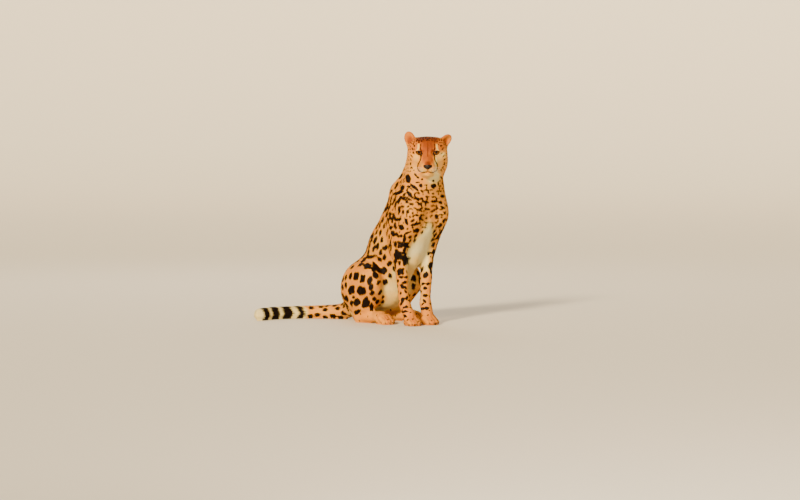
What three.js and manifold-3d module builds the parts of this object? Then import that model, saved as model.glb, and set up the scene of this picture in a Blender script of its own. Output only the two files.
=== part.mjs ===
// A cheetah sitting upright, life size, divided into the parts that a person would name.
// Millimetres, +Z up. The origin is on the floor under the middle of the rump, +X points forward along
// the pelvis and +Y to the animal's left. The outer surfaces are those of the coat, hair included.
//
// The body is modelled like clay: rounded bars and eggs, one for each bone with its muscle, are blended
// into one surface. That surface is turned into triangles, thinned, and parted with thin planar cuts.
import * as THREE from 'three';
import { mergeVertices } from 'three/addons/utils/BufferGeometryUtils.js';
import Module from 'manifold-3d';

const wasm = await Module();
wasm.setup();

// ---------------------------------------------------------------- driving dimensions

const GAP = 0.35; // width of the cuts between neighbouring parts
const ROUNDING = 0.01; // to which the parts' corners are rounded
const CELL = 5; // spacing of the grid on which the body's surface is found
const BLOCK = 4; // cells along each side of a block of the grid, skipped where it is clear of the body
const BODY_TRIANGLES = 3930; // what the whole body is thinned to before it is parted
const FLAT_DEPTH = 1.5; // how far up the floor presses the round underside of a foot, the rump and the tail

const TURN_START = 80; // the back begins to turn towards the right here, in X
const TURN_END = 330; // and has turned by CHEST_TURN here
const TURN_PIVOT = 150;
const CHEST_TURN = THREE.MathUtils.degToRad(-5);

const HEAD_CENTRE = [445.5, -3, 737]; // midway between the eyes and the back of the skull, before the turn
const HEAD_YAW = THREE.MathUtils.degToRad(-44); // the face looks out past the right shoulder
const HEAD_PITCH = THREE.MathUtils.degToRad(3); // nose slightly down
const EYE = { forward: 47, aside: 36.5, up: 0, radius: 17 };
// The right ear stands up and the left one is laid out sideways. lean and turn are in degrees.
const EARS = {
  right: { s: -1, centre: [-22, -74, 54], lean: 18, turn: 22 },
  left: { s: 1, centre: [-26, 76, 46], lean: 42, turn: 34 },
};
const EYE_HOLLOW = { centre: [62, 37.5, 0], radii: [12, 15, 9] }; // the dent in the face round an eye
const EAR_CUT = -8; // where the ear is parted from the skull, below its middle
const EAR_BLOCK = [44, 60, 80]; // the blocks that cut the ears and the head off
const HEAD_BLOCK = [300, 320, 300];
const HEAD_CUT = { through: [-40, 0, -76], lean: THREE.MathUtils.degToRad(31) };
const HEAD_FROM = 620; // above this height the surface keeps the most detail
const FEET_TO = 60; // and below this one it keeps more than on the trunk

const TAIL_CUTS = [0.13, 0.31, 0.49, 0.67, 0.84]; // along the tail, from its root
const TAIL_BLOCK = [150, 150, 150];

const PAWS = { forefoot: { x: 386, y: 48 }, hindfoot: { x: 250, y: 87 } }; // the knuckles, and the middle
// How far each toe of a paw is from its middle, and how far it reaches past the line of the knuckles.
const TOES = [
  { aside: -24, reach: 30 },
  { aside: -8.5, reach: 41 },
  { aside: 8.5, reach: 41 },
  { aside: 24, reach: 30 },
];
const CLAW = { radius: 3.2, length: 17, droop: 5, forward: 4, up: 15, pitch: THREE.MathUtils.degToRad(18) };
const DEWCLAW = { place: [372, 31, 74], yaw: 0.5, pitch: THREE.MathUtils.degToRad(50) };

const EAR_RADII = [11, 25, 33];
const EAR_HOLLOW = { forward: 11, up: 7, radii: [10, 18, 23] };

// ---------------------------------------------------------------- points and forms

const vec = (p) => (p.isVector3 ? p.clone() : new THREE.Vector3(...p));
const smooth = (x, low, high) => THREE.MathUtils.smoothstep(x, low, high);

// The turn of the back about the vertical, at a distance x along the straight body.
const turnAt = (x) => CHEST_TURN * smooth(x, TURN_START, TURN_END);

// A point of the straight body, where it lies once the back has turned.
function posed(point) {
  const p = vec(point);
  const pivot = new THREE.Vector3(TURN_PIVOT, 0, 0);
  return p.clone().sub(pivot).applyAxisAngle(new THREE.Vector3(0, 0, 1), turnAt(p.x)).add(pivot);
}

const UP = new THREE.Vector3(0, 0, 1);
const headCentre = posed(HEAD_CENTRE);
const headTurn = new THREE.Quaternion()
  .setFromAxisAngle(UP, HEAD_YAW)
  .multiply(new THREE.Quaternion().setFromAxisAngle(new THREE.Vector3(0, 1, 0), HEAD_PITCH));

// A point given in the head's own axes: forward, to the left, up.
const inHead = (point) => vec(point).applyQuaternion(headTurn).add(headCentre);

// A rounded bar from a to b. Its radius runs from ra to rb, and aside is its breadth over its depth.
function bar(a, b, ra, rb, { aside = 1, across = [0, 1, 0], blend = 18 } = {}) {
  const start = vec(a);
  const side = vec(across).normalize();
  const squeeze = (v) => v.addScaledVector(side, v.dot(side) * (1 / aside - 1));
  const axis = squeeze(vec(b).sub(start));
  const length2 = axis.lengthSq();
  const slope = ra - rb;
  const a2 = length2 - slope * slope;
  const scale = Math.min(1, aside);
  const v = new THREE.Vector3();
  const distance = (p) => {
    squeeze(v.copy(p).sub(start));
    const y = v.dot(axis);
    const z = y - length2;
    const x2 = v.multiplyScalar(length2).addScaledVector(axis, -y).lengthSq();
    const y2 = y * y * length2;
    const z2 = z * z * length2;
    const k = Math.sign(slope) * slope * slope * x2;
    if (Math.sign(z) * a2 * z2 > k) return scale * (Math.sqrt(x2 + z2) / length2 - rb);
    if (Math.sign(y) * a2 * y2 < k) return scale * (Math.sqrt(x2 + y2) / length2 - ra);
    return scale * ((Math.sqrt(x2 * a2 / length2) + y * slope) / length2 - ra);
  };
  const centre = start.clone().lerp(vec(b), 0.5);
  const reach = centre.distanceTo(start) + Math.max(ra, rb) * Math.max(1, aside);
  return { distance, centre, reach, blend };
}

// An egg with three radii, turned by a quaternion.
function egg(centre, radii, { turn = new THREE.Quaternion(), blend = 18 } = {}) {
  const middle = vec(centre);
  const r = vec(radii);
  const back = turn.clone().invert();
  const v = new THREE.Vector3();
  const w = new THREE.Vector3();
  const distance = (p) => {
    v.copy(p).sub(middle).applyQuaternion(back).divide(r);
    const k0 = v.length();
    const k1 = w.copy(v).divide(r).length();
    return k1 === 0 ? -Math.min(r.x, r.y, r.z) : k0 * (k0 - 1) / k1;
  };
  return { distance, centre: middle, reach: Math.max(r.x, r.y, r.z), blend };
}

// Leans an egg about the body's left-right axis, nose up, and about the vertical with the back.
function leaning(degreesUp, x) {
  const lean = new THREE.Quaternion()
    .setFromAxisAngle(new THREE.Vector3(0, 1, 0), -THREE.MathUtils.degToRad(degreesUp));
  return new THREE.Quaternion().setFromAxisAngle(UP, turnAt(x)).multiply(lean);
}

const bodyBar = (a, b, ra, rb, options = {}) => {
  const across = vec([0, 1, 0]).applyAxisAngle(UP, turnAt((a[0] + b[0]) / 2));
  return bar(posed(a), posed(b), ra, rb, { across, ...options });
};
const bodyEgg = (c, radii, lean = 0, options = {}) =>
  egg(posed(c), radii, { turn: leaning(lean, c[0]), ...options });
const headBar = (a, b, ra, rb, options = {}) => {
  const across = vec([0, 1, 0]).applyQuaternion(headTurn);
  return bar(inHead(a), inHead(b), ra, rb, { across, blend: 10, ...options });
};
const headEgg = (c, radii, options = {}) => egg(inHead(c), radii, { turn: headTurn, blend: 10, ...options });

// ---------------------------------------------------------------- the anatomy

const both = (make) => [1, -1].flatMap(make);

function trunkForms() {
  return [
    bodyEgg([64, 0, 128], [96, 84, 112], 20), // pelvis and croup
    bodyEgg([6, 0, 70], [58, 68, 74], 0), // seat
    bodyBar([84, 0, 202], [188, 0, 332], 84, 90, { aside: 0.86, blend: 40 }), // loin
    bodyBar([200, 0, 338], [300, 0, 455], 102, 114, { aside: 0.80, blend: 40 }), // rib cage
    bodyEgg([350, 0, 470], [100, 88, 116], 35, { blend: 40 }), // chest
    bodyBar([385, 0, 430], [322, 0, 300], 68, 60, { aside: 0.92, blend: 30 }), // breastbone
    bodyBar([275, 0, 300], [190, 0, 170], 74, 76, { aside: 0.95, blend: 40 }), // belly
    bodyEgg([185, 0, 118], [78, 66, 56], 30, { blend: 30 }), // fold of the belly between the knees
    bodyBar([274, 0, 545], [325, 0, 580], 46, 54, { aside: 0.9, blend: 34 }), // withers
  ];
}

function neckForms() {
  return [
    bodyBar([330, 0, 560], [404, 0, 712], 70, 54, { aside: 0.92, blend: 40 }), // nape
    bodyBar([405, 0, 540], [446, 0, 664], 70, 48, { aside: 1.05, blend: 40 }), // throat
    bar(posed([374, 4, 640]), inHead([-38, 0, -12]), 46, 48, { blend: 40 }), // scruff
    ...both((s) => [bodyBar([400, s * 54, 535], [428, s * 36, 655], 64, 42, { blend: 40 })]), // sides
  ];
}

function foreLegForms(s) {
  const at = (x, y, z) => [x, s * y, z];
  return [
    bodyBar(at(290, 40, 566), at(416, 68, 490), 34, 46, { aside: 0.7, blend: 34 }), // shoulder blade
    bodyEgg(at(400, 68, 480), [58, 38, 72], 20, { blend: 40 }), // point of the shoulder
    bodyBar(at(414, 76, 468), at(350, 80, 335), 48, 42, { aside: 0.8, blend: 30 }), // upper arm
    bodyBar(at(326, 74, 462), at(322, 80, 345), 44, 34, { aside: 0.7, blend: 24 }), // back of the arm
    bodyEgg(at(318, 78, 318), [25, 20, 30], 0, { blend: 14 }), // point of the elbow
    bodyBar(at(346, 76, 318), at(354, 66, 205), 38, 27, { aside: 0.86, blend: 14 }), // forearm
    bodyBar(at(354, 66, 205), at(357, 58, 100), 27, 23, { aside: 0.95, blend: 10 }), // lower forearm
    bodyEgg(at(358, 57, 96), [25, 26, 26], 0, { blend: 10 }), // wrist
    bodyBar(at(362, 56, 84), at(386, 48, 40), 24, 24, { aside: 1.12, blend: 10 }), // palm
    ...pawForms(at, PAWS.forefoot),
  ];
}

// Four toes, each a raised knuckle and a tip, and the pad behind them.
function pawForms(at, { x, y }) {
  const forms = [bodyEgg(at(x - 4, y, 14), [30, 26, 15], 0, { blend: 8 })];
  for (const toe of TOES) {
    const aside = y + toe.aside;
    forms.push(
      bodyBar(at(x, y + 0.7 * toe.aside, 36), at(x + toe.reach - 24, aside, 30), 14, 13, { blend: 8 }),
      bodyBar(at(x + toe.reach - 24, aside, 30), at(x + toe.reach, aside, 13.5), 13, 12.5, { blend: 5 }),
    );
  }
  return forms;
}

function hindLegForms(s) {
  const at = (x, y, z) => [x, s * y, z];
  const splay = { across: [0.3, s, 0] };
  return [
    bodyEgg(at(62, 54, 178), [84, 50, 88], 30, { blend: 40 }), // rump muscle
    bodyEgg(at(104, 90, 148), [126, 52, 110], 18, { blend: 32 }), // thigh
    bodyBar(at(100, 98, 150), at(184, 118, 200), 78, 54, { aside: 0.62, blend: 30 }), // front of the thigh
    bodyEgg(at(197, 121, 186), [44, 36, 56], 30, { blend: 20 }), // knee
    bodyBar(at(196, 118, 156), at(142, 104, 82), 44, 35, { aside: 0.8, blend: 22, ...splay }), // calf
    bodyBar(at(142, 104, 82), at(92, 94, 40), 35, 24, { aside: 0.9, blend: 16 }), // shank
    bodyEgg(at(86, 92, 27), [26, 22, 28], 0, { blend: 12 }), // heel
    bodyBar(at(90, 92, 27), at(230, 88, 32), 24, 25, { blend: 12 }), // instep
    ...pawForms(at, PAWS.hindfoot),
  ];
}

const TAIL_ROUTE = [
  [10, 0, 96], [-42, -2, 66], [-92, -8, 38], [-160, -30, 31], [-228, -74, 29], [-276, -136, 28],
  [-300, -208, 27], [-300, -282, 27], [-284, -350, 27],
];
const TAIL_ROOT_RADIUS = 36;
const TAIL_RADIUS = 27;
const tailCurve = new THREE.CatmullRomCurve3(TAIL_ROUTE.map(vec), false, 'centripetal');
const tailRadius = (t) => THREE.MathUtils.lerp(TAIL_ROOT_RADIUS, TAIL_RADIUS, smooth(t, 0, 0.55));

function tailForms() {
  const steps = 26;
  const forms = [];
  for (let i = 0; i < steps; i++) {
    const [t, next] = [i / steps, (i + 1) / steps];
    const [a, b] = [tailCurve.getPointAt(t), tailCurve.getPointAt(next)];
    const last = i === steps - 1;
    forms.push(bar(a, b, tailRadius(t), last ? 15 : tailRadius(next), { blend: i < 4 ? 30 : 12 }));
  }
  return forms;
}

function headForms() {
  const forms = [
    headEgg([-24, 0, 0], [66, 72, 60], { blend: 20 }), // brain case
    headBar([-10, -36, 30], [-10, 36, 30], 33, 33, { blend: 16 }), // crown
    headEgg([14, 0, 20], [44, 54, 40], { blend: 18 }), // forehead
    headEgg([14, 0, -22], [50, 66, 48], { blend: 20 }), // face
    headBar([40, 0, -6], [91, 0, -48], 27, 18, { aside: 1.15, blend: 16 }), // bridge of the nose
    headBar([40, 0, -46], [84, 0, -60], 41, 25, { blend: 16 }), // muzzle
    headEgg([105, 0, -56], [10, 18, 11], { blend: 10 }), // nose
    headEgg([80, 0, -88], [20, 17, 13], { blend: 10 }), // chin
    headEgg([0, 0, -74], [58, 46, 32], { blend: 24 }), // floor of the jaw
  ];
  for (const s of [1, -1]) {
    forms.push(
      headEgg([-6, s * 52, -30], [50, 34, 44], { blend: 18 }), // cheek
      headEgg([-10, s * 50, 6], [44, 32, 44], { blend: 18 }), // temple
      headEgg([-26, s * 68, 34], [18, 20, 24], { blend: 14 }), // root of the ear
      headEgg([-34, s * 52, -54], [42, 32, 46], { blend: 20 }), // ruff behind the jaw
      headBar([54, s * 14, 17], [36, s * 44, 14], 13, 14, { blend: 16 }), // brow
      headBar([58, s * 26, -28], [28, s * 54, -20], 17, 22, { blend: 18 }), // cheek bone
      headEgg([85, s * 16, -64], [25, 18, 20], { blend: 10 }), // whisker pad
      headBar([68, s * 12, -86], [0, s * 40, -70], 14, 26, { blend: 14 }), // lower jaw
    );
  }
  return forms;
}

// How an ear is turned: leaning outwards, and its open side swung outwards.
function earTurn({ s, lean, turn }) {
  const outwards = new THREE.Quaternion()
    .setFromAxisAngle(new THREE.Vector3(1, 0, 0), -s * THREE.MathUtils.degToRad(lean));
  const swing = new THREE.Quaternion().setFromAxisAngle(UP, s * THREE.MathUtils.degToRad(turn));
  return headTurn.clone().multiply(outwards).multiply(swing);
}

const earForms = () =>
  Object.values(EARS).map((ear) => egg(inHead(ear.centre), EAR_RADII, { turn: earTurn(ear), blend: 8 }));

// The hollows, taken away from the head's surface: where the eyes sit, and the cups of the ears.
function hollowForms() {
  const [forward, aside, up] = EYE_HOLLOW.centre;
  const eyes = both((s) => [headEgg([forward, s * aside, up], EYE_HOLLOW.radii, { blend: 6 })]);
  const cups = Object.values(EARS).map((ear) => {
    const shift = new THREE.Vector3(EAR_HOLLOW.forward, 0, EAR_HOLLOW.up).applyQuaternion(earTurn(ear));
    return egg(inHead(ear.centre).add(shift), EAR_HOLLOW.radii, { turn: earTurn(ear), blend: 4 });
  });
  return [...eyes, ...cups];
}

// ---------------------------------------------------------------- from forms to one surface

const added = [
  ...trunkForms(), ...neckForms(), ...both(foreLegForms), ...both(hindLegForms),
  ...tailForms(), ...headForms(), ...earForms(),
];
const hollows = hollowForms();

function blended(a, b, k) {
  const h = Math.max(k - Math.abs(a - b), 0) / k;
  return Math.min(a, b) - h * h * k / 4;
}

// The distance from p to the body's surface, negative inside.
function bodyDistance(p) {
  let d = 1e3;
  for (const form of added) {
    if (p.distanceTo(form.centre) - form.reach > d + form.blend) continue;
    d = blended(d, form.distance(p), form.blend);
  }
  for (const form of hollows) d = -blended(-d, form.distance(p), form.blend);
  return d;
}

function slopeAt(p, step = 0.5) {
  const q = p.clone();
  const g = new THREE.Vector3();
  for (const axis of ['x', 'y', 'z']) {
    q[axis] = p[axis] + step;
    g[axis] = bodyDistance(q);
    q[axis] = p[axis] - step;
    g[axis] = (g[axis] - bodyDistance(q)) / (2 * step);
    q[axis] = p[axis];
  }
  return g;
}

// Moves a point onto the body's surface.
function settled(p) {
  for (let i = 0; i < 3; i++) {
    const g = slopeAt(p);
    p.addScaledVector(g, -bodyDistance(p) / Math.max(g.lengthSq(), 0.2));
  }
  return p;
}

// ---------------------------------------------------------------- the surface as triangles

// The box that holds all the forms, on the grid's spacing.
function gridBox() {
  const box = new THREE.Box3();
  for (const form of added) {
    box.expandByPoint(form.centre.clone().subScalar(form.reach));
    box.expandByPoint(form.centre.clone().addScalar(form.reach));
  }
  box.expandByScalar(2 * CELL);
  const cells = box.getSize(new THREE.Vector3()).divideScalar(CELL).ceil();
  return { low: box.min, count: [cells.x + 1, cells.y + 1, cells.z + 1] };
}

// Every place of the grid from one corner up to another, a step apart.
function* gridPlaces(from, to, step = 1) {
  for (let k = from[2]; k < to[2]; k += step) {
    for (let j = from[1]; j < to[1]; j += step) {
      for (let i = from[0]; i < to[0]; i += step) yield [i, j, k];
    }
  }
}

// The distance at every grid point. A block that is clear of the surface takes its middle's distance.
function sampleGrid({ low, count }) {
  const values = new Float32Array(count[0] * count[1] * count[2]);
  const clear = BLOCK * CELL * 1.5 + 10;
  const placed = (p) => p.multiplyScalar(CELL).add(low);
  for (const block of gridPlaces([0, 0, 0], count, BLOCK)) {
    const middle = bodyDistance(placed(vec(block).addScalar(BLOCK / 2)));
    const end = block.map((start, axis) => Math.min(start + BLOCK, count[axis]));
    for (const [i, j, k] of gridPlaces(block, end)) {
      const value = Math.abs(middle) < clear ? bodyDistance(placed(new THREE.Vector3(i, j, k))) : middle;
      values[(k * count[1] + j) * count[0] + i] = value;
    }
  }
  return values;
}

// Where two opposite corners of a grid square are inside and the others aren't, the surface would touch
// itself. The outer corner that is nearer to the surface is then taken inside.
function closeCrossings(values, { count }) {
  const step = [1, count[0], count[0] * count[1]];
  let closed = 0;
  for (const [i, j, k] of gridPlaces([0, 0, 0], count.map((n) => n - 1))) {
    const cell = i + j * step[1] + k * step[2];
    for (const [u, v] of [[0, 1], [1, 2], [2, 0]]) {
      const [a, b, c, d] = [cell, cell + step[u], cell + step[v], cell + step[u] + step[v]];
      const [inA, inB, inC, inD] = [a, b, c, d].map((corner) => values[corner] < 0);
      if (inA !== inD || inB !== inC || inA === inB) continue;
      const outer = inA ? [b, c] : [a, d];
      values[values[outer[0]] < values[outer[1]] ? outer[0] : outer[1]] = -0.1;
      closed += 1;
    }
  }
  return closed;
}

const CORNERS = [0, 1, 2, 3, 4, 5, 6, 7].map((n) => new THREE.Vector3(n & 1, (n >> 1) & 1, n >> 2));
const CELL_EDGES = [
  [0, 1], [2, 3], [4, 5], [6, 7], [0, 2], [1, 3], [4, 6], [5, 7], [0, 4], [1, 5], [2, 6], [3, 7],
];

// One point in each cell that the surface crosses, and two triangles for each grid edge that it crosses.
function surfaceNet() {
  const grid = gridBox();
  const values = sampleGrid(grid);
  while (closeCrossings(values, grid));
  const [nx, ny, nz] = grid.count;
  const at = (i, j, k) => (k * ny + j) * nx + i;
  const last = grid.count.map((n) => n - 1);
  const pointOf = new Int32Array(nx * ny * nz).fill(-1);
  const points = [];
  for (const [i, j, k] of gridPlaces([0, 0, 0], last)) {
    const corner = CORNERS.map((c) => values[at(i + c.x, j + c.y, k + c.z)]);
    const crossed = CELL_EDGES.filter(([a, b]) => corner[a] < 0 !== corner[b] < 0);
    if (!crossed.length) continue;
    const p = new THREE.Vector3();
    for (const [a, b] of crossed) {
      p.add(CORNERS[a].clone().lerp(CORNERS[b], corner[a] / (corner[a] - corner[b])));
    }
    p.divideScalar(crossed.length).add(new THREE.Vector3(i, j, k)).multiplyScalar(CELL).add(grid.low);
    pointOf[at(i, j, k)] = points.length;
    points.push(settled(p));
  }
  const triangles = [];
  const addQuad = (cells, inwards) => {
    const [a, b, c, d] = cells.map((cell) => pointOf[cell]);
    triangles.push(...(inwards ? [[a, c, b], [a, d, c]] : [[a, b, c], [a, c, d]]));
  };
  const step = [at(1, 0, 0), at(0, 1, 0), at(0, 0, 1)];
  for (const place of gridPlaces([1, 1, 1], last)) {
    const cell = at(...place);
    const here = values[cell] < 0;
    for (const [axis, u, v] of [[0, 1, 2], [1, 2, 0], [2, 0, 1]]) {
      if (here === values[cell + step[axis]] < 0) continue;
      addQuad([cell - step[u] - step[v], cell - step[v], cell, cell - step[u]], !here);
    }
  }
  return { points, triangles };
}

// ---------------------------------------------------------------- thinning

// The sum of squared distances to a set of planes, kept as the ten numbers of a quadric.
const addQuadric = (q, r) => q.map((value, i) => value + r[i]);
const planeQuadric = (n, d, w) => [
  n.x * n.x * w, n.x * n.y * w, n.x * n.z * w, n.x * d * w, n.y * n.y * w,
  n.y * n.z * w, n.y * d * w, n.z * n.z * w, n.z * d * w, d * d * w,
];
const quadricAt = (q, { x, y, z }) =>
  q[0] * x * x + 2 * q[1] * x * y + 2 * q[2] * x * z + 2 * q[3] * x + q[4] * y * y +
  2 * q[5] * y * z + 2 * q[6] * y + q[7] * z * z + 2 * q[8] * z + q[9];

// The point where a quadric is least, or null where it is flat and any point of a line or plane would do.
function leastPoint(q) {
  const m = new THREE.Matrix3().set(q[0], q[1], q[2], q[1], q[4], q[5], q[2], q[5], q[7]);
  const size = q[0] + q[4] + q[7];
  if (Math.abs(m.determinant()) < 1e-4 * size ** 3) return null;
  return new THREE.Vector3(-q[3], -q[6], -q[8]).applyMatrix3(m.invert());
}

// A heap of candidate edges, the cheapest on top.
class Heap {
  items = [];
  push(item) {
    const { items } = this;
    let i = items.length;
    items.push(item);
    while (i > 0 && items[(i - 1) >> 1].cost > item.cost) {
      items[i] = items[(i - 1) >> 1];
      i = (i - 1) >> 1;
    }
    items[i] = item;
  }
  pop() {
    const { items } = this;
    const top = items[0];
    const last = items.pop();
    const n = items.length;
    if (!n) return top;
    let i = 0;
    for (;;) {
      let child = 2 * i + 1;
      if (child >= n) break;
      if (child + 1 < n && items[child + 1].cost < items[child].cost) child += 1;
      if (items[child].cost >= last.cost) break;
      items[i] = items[child];
      i = child;
    }
    items[i] = last;
    return top;
  }
}

const normalOf = (a, b, c) => b.clone().sub(a).cross(c.clone().sub(a));

// Thins a closed mesh by closing up its edges, the cheapest first. careAt(point) is how dear the detail is.
function thinned({ points, triangles }, target, careAt) {
  const faces = triangles.map((t) => [...t]);
  const facesOf = points.map(() => new Set());
  const quadrics = points.map(() => new Array(10).fill(0));
  const age = new Int32Array(points.length);
  faces.forEach((face, f) => {
    const n = normalOf(...face.map((i) => points[i]));
    const area = n.length();
    n.normalize();
    const quadric = planeQuadric(n, -n.dot(points[face[0]]), area * careAt(points[face[0]]));
    for (const i of face) {
      facesOf[i].add(f);
      quadrics[i] = addQuadric(quadrics[i], quadric);
    }
  });
  const around = (i) => new Set([...facesOf[i]].flatMap((f) => faces[f]).filter((j) => j !== i));
  const heap = new Heap();
  const offer = (a, b) => {
    const quadric = addQuadric(quadrics[a], quadrics[b]);
    const middle = points[a].clone().lerp(points[b], 0.5);
    const span = points[a].distanceTo(points[b]);
    const least = leastPoint(quadric);
    const place = least && least.distanceTo(middle) < span ? least : middle;
    heap.push({ a, b, place, ages: age[a] + age[b], cost: quadricAt(quadric, place) + 1e-3 * span ** 2 });
  };
  // Closing up a face's edge must not turn any face over or leave it a sliver.
  const spoils = (i, other, place) => [...facesOf[i]].some((f) => {
    if (faces[f].includes(other)) return false;
    const before = normalOf(...faces[f].map((j) => points[j]));
    const moved = faces[f].map((j) => (j === i ? place : points[j]));
    const after = normalOf(...moved);
    const longest = Math.max(...moved.map((p, n) => p.distanceTo(moved[(n + 1) % 3])));
    return before.dot(after) < 0.3 * before.length() * after.length() || after.length() < 0.12 * longest ** 2;
  });
  points.forEach((_, i) => around(i).forEach((j) => i < j && offer(i, j)));
  let left = faces.length;
  while (left > target && heap.items.length) {
    const { a, b, place, ages } = heap.pop();
    if (!facesOf[a].size || !facesOf[b].size || ages !== age[a] + age[b]) continue;
    const shared = [...around(a)].filter((i) => around(b).has(i));
    if (shared.length !== 2 || spoils(a, b, place) || spoils(b, a, place)) continue;
    points[a].copy(settled(place));
    quadrics[a] = addQuadric(quadrics[a], quadrics[b]);
    for (const f of facesOf[b]) {
      if (faces[f].includes(a)) {
        faces[f].forEach((i) => facesOf[i].delete(f));
        faces[f] = null;
        left -= 1;
      } else {
        faces[f] = faces[f].map((i) => (i === b ? a : i));
        facesOf[a].add(f);
      }
    }
    facesOf[b].clear();
    const neighbours = around(a);
    age[a] += 1;
    neighbours.forEach((i) => offer(a, i));
  }
  return { points, triangles: faces.filter(Boolean) };
}

// ---------------------------------------------------------------- solids

// A closed mesh as a solid that can be cut. Faces that have closed up at a pole are left out.
function solidFrom(positions, index) {
  const kept = [];
  for (let i = 0; i < index.length; i += 3) {
    const [a, b, c] = index.slice(i, i + 3);
    if (a !== b && b !== c && c !== a) kept.push(a, b, c);
  }
  return new wasm.Manifold(new wasm.Mesh({
    numProp: 3,
    vertProperties: new Float32Array(positions),
    triVerts: new Uint32Array(kept),
  }));
}

function solidOf(geometry) {
  const plain = new THREE.BufferGeometry().setAttribute('position', geometry.getAttribute('position'));
  plain.setIndex(geometry.index);
  const merged = mergeVertices(plain, 1e-4);
  return solidFrom([...merged.attributes.position.array], [...merged.index.array]);
}

function solidBody({ points, triangles }) {
  const place = new Map();
  for (const i of triangles.flat()) if (!place.has(i)) place.set(i, place.size);
  const positions = [...place.keys()].flatMap((i) => points[i].toArray());
  return solidFrom(positions, triangles.flat().map((i) => place.get(i)));
}

// A block of the given size round a centre, turned by a quaternion, and grown by so much on every side.
function block({ centre, size, turn = new THREE.Quaternion() }, grown = 0) {
  const geometry = new THREE.BoxGeometry(...size.map((side) => side + 2 * grown));
  geometry.applyQuaternion(turn);
  geometry.translate(...vec(centre).toArray());
  return solidOf(geometry);
}

// ---------------------------------------------------------------- parting the body

// How dear the detail is at a point of the surface: most on the head, then on the feet.
const careAt = (p) => {
  if (p.z > HEAD_FROM) return 6;
  return p.z < FEET_TO && p.x > 0 ? 3 : 1;
};

// The floor presses everything that rests on it flat, at one level.
const floor = block({ centre: [0, 0, FLAT_DEPTH - 100], size: [2000, 2000, 200] });

const parts = new Map();
parts.set('trunk', solidBody(thinned(surfaceNet(), BODY_TRIANGLES, careAt)).subtract(floor));

// Cuts the piece of a part that lies in a block off it, and leaves a gap between the two.
function partOff(name, from, knife) {
  const whole = parts.get(from);
  const piece = whole.intersect(block(knife));
  if (piece.decompose().length !== 1) throw new Error(`the knife for ${name} takes several pieces`);
  parts.set(name, piece);
  parts.set(from, whole.subtract(block(knife, GAP)));
}

// A block that is placed on the straight body, from its low corner to its high one, and leans nose up.
function bodyKnife(low, high, lean = 0) {
  const centre = low.map((value, i) => (value + high[i]) / 2);
  const size = low.map((value, i) => Math.abs(high[i] - value));
  return { centre: posed(centre), size, turn: leaning(lean, centre[0]) };
}

const SIDES = { left: 1, right: -1 };

// The tail, from its tip to its root.
for (let n = TAIL_CUTS.length; n > 0; n--) {
  const start = tailCurve.getPointAt(TAIL_CUTS[n - 1]);
  const along = tailCurve.getTangentAt(TAIL_CUTS[n - 1]);
  const turn = new THREE.Quaternion().setFromUnitVectors(new THREE.Vector3(1, 0, 0), along);
  const centre = start.clone().addScaledVector(along, TAIL_BLOCK[0] / 2);
  partOff(`tail_${n}`, 'trunk', { centre, size: TAIL_BLOCK, turn });
}

// The head, its ears, and the neck.
const neckward = new THREE.Quaternion().setFromAxisAngle(new THREE.Vector3(0, 1, 0), HEAD_CUT.lean);
const headUp = new THREE.Vector3(0, 0, HEAD_BLOCK[2] / 2).applyQuaternion(neckward);
partOff('head', 'trunk', {
  centre: inHead(vec(HEAD_CUT.through).add(headUp)),
  size: HEAD_BLOCK,
  turn: headTurn.clone().multiply(neckward),
});
for (const [side, ear] of Object.entries(EARS)) {
  const turn = earTurn(ear);
  const above = new THREE.Vector3(0, ear.s * 4, EAR_CUT + EAR_BLOCK[2] / 2).applyQuaternion(turn);
  partOff(`ear_${side}`, 'head', { centre: above.add(inHead(ear.centre)), size: EAR_BLOCK, turn });
}
partOff('neck', 'trunk', bodyKnife([260, -150, 588], [540, 150, 790], -28));

// The legs. y is measured outwards from the middle of the body.
for (const [side, s] of Object.entries(SIDES)) {
  const knife = (low, high, lean) =>
    bodyKnife([low[0], s * low[1], low[2]], [high[0], s * high[1], high[2]], lean);
  partOff(`forefoot_${side}`, 'trunk', knife([318, 5, -10], [470, 115, 92]));
  partOff(`foreleg_lower_${side}`, 'trunk', knife([322, 20, 80], [430, 125, 222]));
  partOff(`foreleg_upper_${side}`, 'trunk', knife([270, 52, 210], [490, 170, 470]));
  partOff(`hindfoot_${side}`, 'trunk', knife([56, 42, -10], [318, 150, 50]));
  partOff(`shank_${side}`, 'trunk', knife([30, 62, -30], [270, 175, 90], 20));
  partOff(`thigh_${side}`, 'trunk', knife([-70, 62, 30], [268, 190, 285]));
}

// ---------------------------------------------------------------- eyes and claws

// An eye sits in a socket of its own shape, a gap larger.
const eyeball = (s, grown = 0) => {
  const geometry = new THREE.IcosahedronGeometry(EYE.radius + grown, 2);
  return solidOf(geometry.translate(...inHead([EYE.forward, s * EYE.aside, EYE.up]).toArray()));
};

// A claw is a lathed cone, bent downwards, that points along +X from its root.
function clawGeometry(grown = 0) {
  const [length, radius] = [CLAW.length, CLAW.radius + grown];
  const outline = [[0, -grown], [radius, -grown], [0.65 * radius, 0.6 * length], [0, length + grown]];
  const geometry = new THREE.LatheGeometry(outline.map((p) => new THREE.Vector2(...p)), 5);
  geometry.rotateZ(-Math.PI / 2);
  const place = geometry.getAttribute('position');
  for (let i = 0; i < place.count; i++) {
    const x = Math.max(place.getX(i), 0);
    place.setZ(i, place.getZ(i) - CLAW.droop * (x / length) ** 2);
  }
  return geometry;
}

function fitClaw(name, foot, root, yaw, pitch) {
  const turn = new THREE.Euler(0, pitch, yaw, 'ZYX');
  const placed = (grown) => {
    const geometry = clawGeometry(grown);
    geometry.applyQuaternion(new THREE.Quaternion().setFromEuler(turn));
    return solidOf(geometry.translate(...root.toArray()));
  };
  parts.set(name, placed(0));
  parts.set(foot, parts.get(foot).subtract(placed(GAP)));
}

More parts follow.
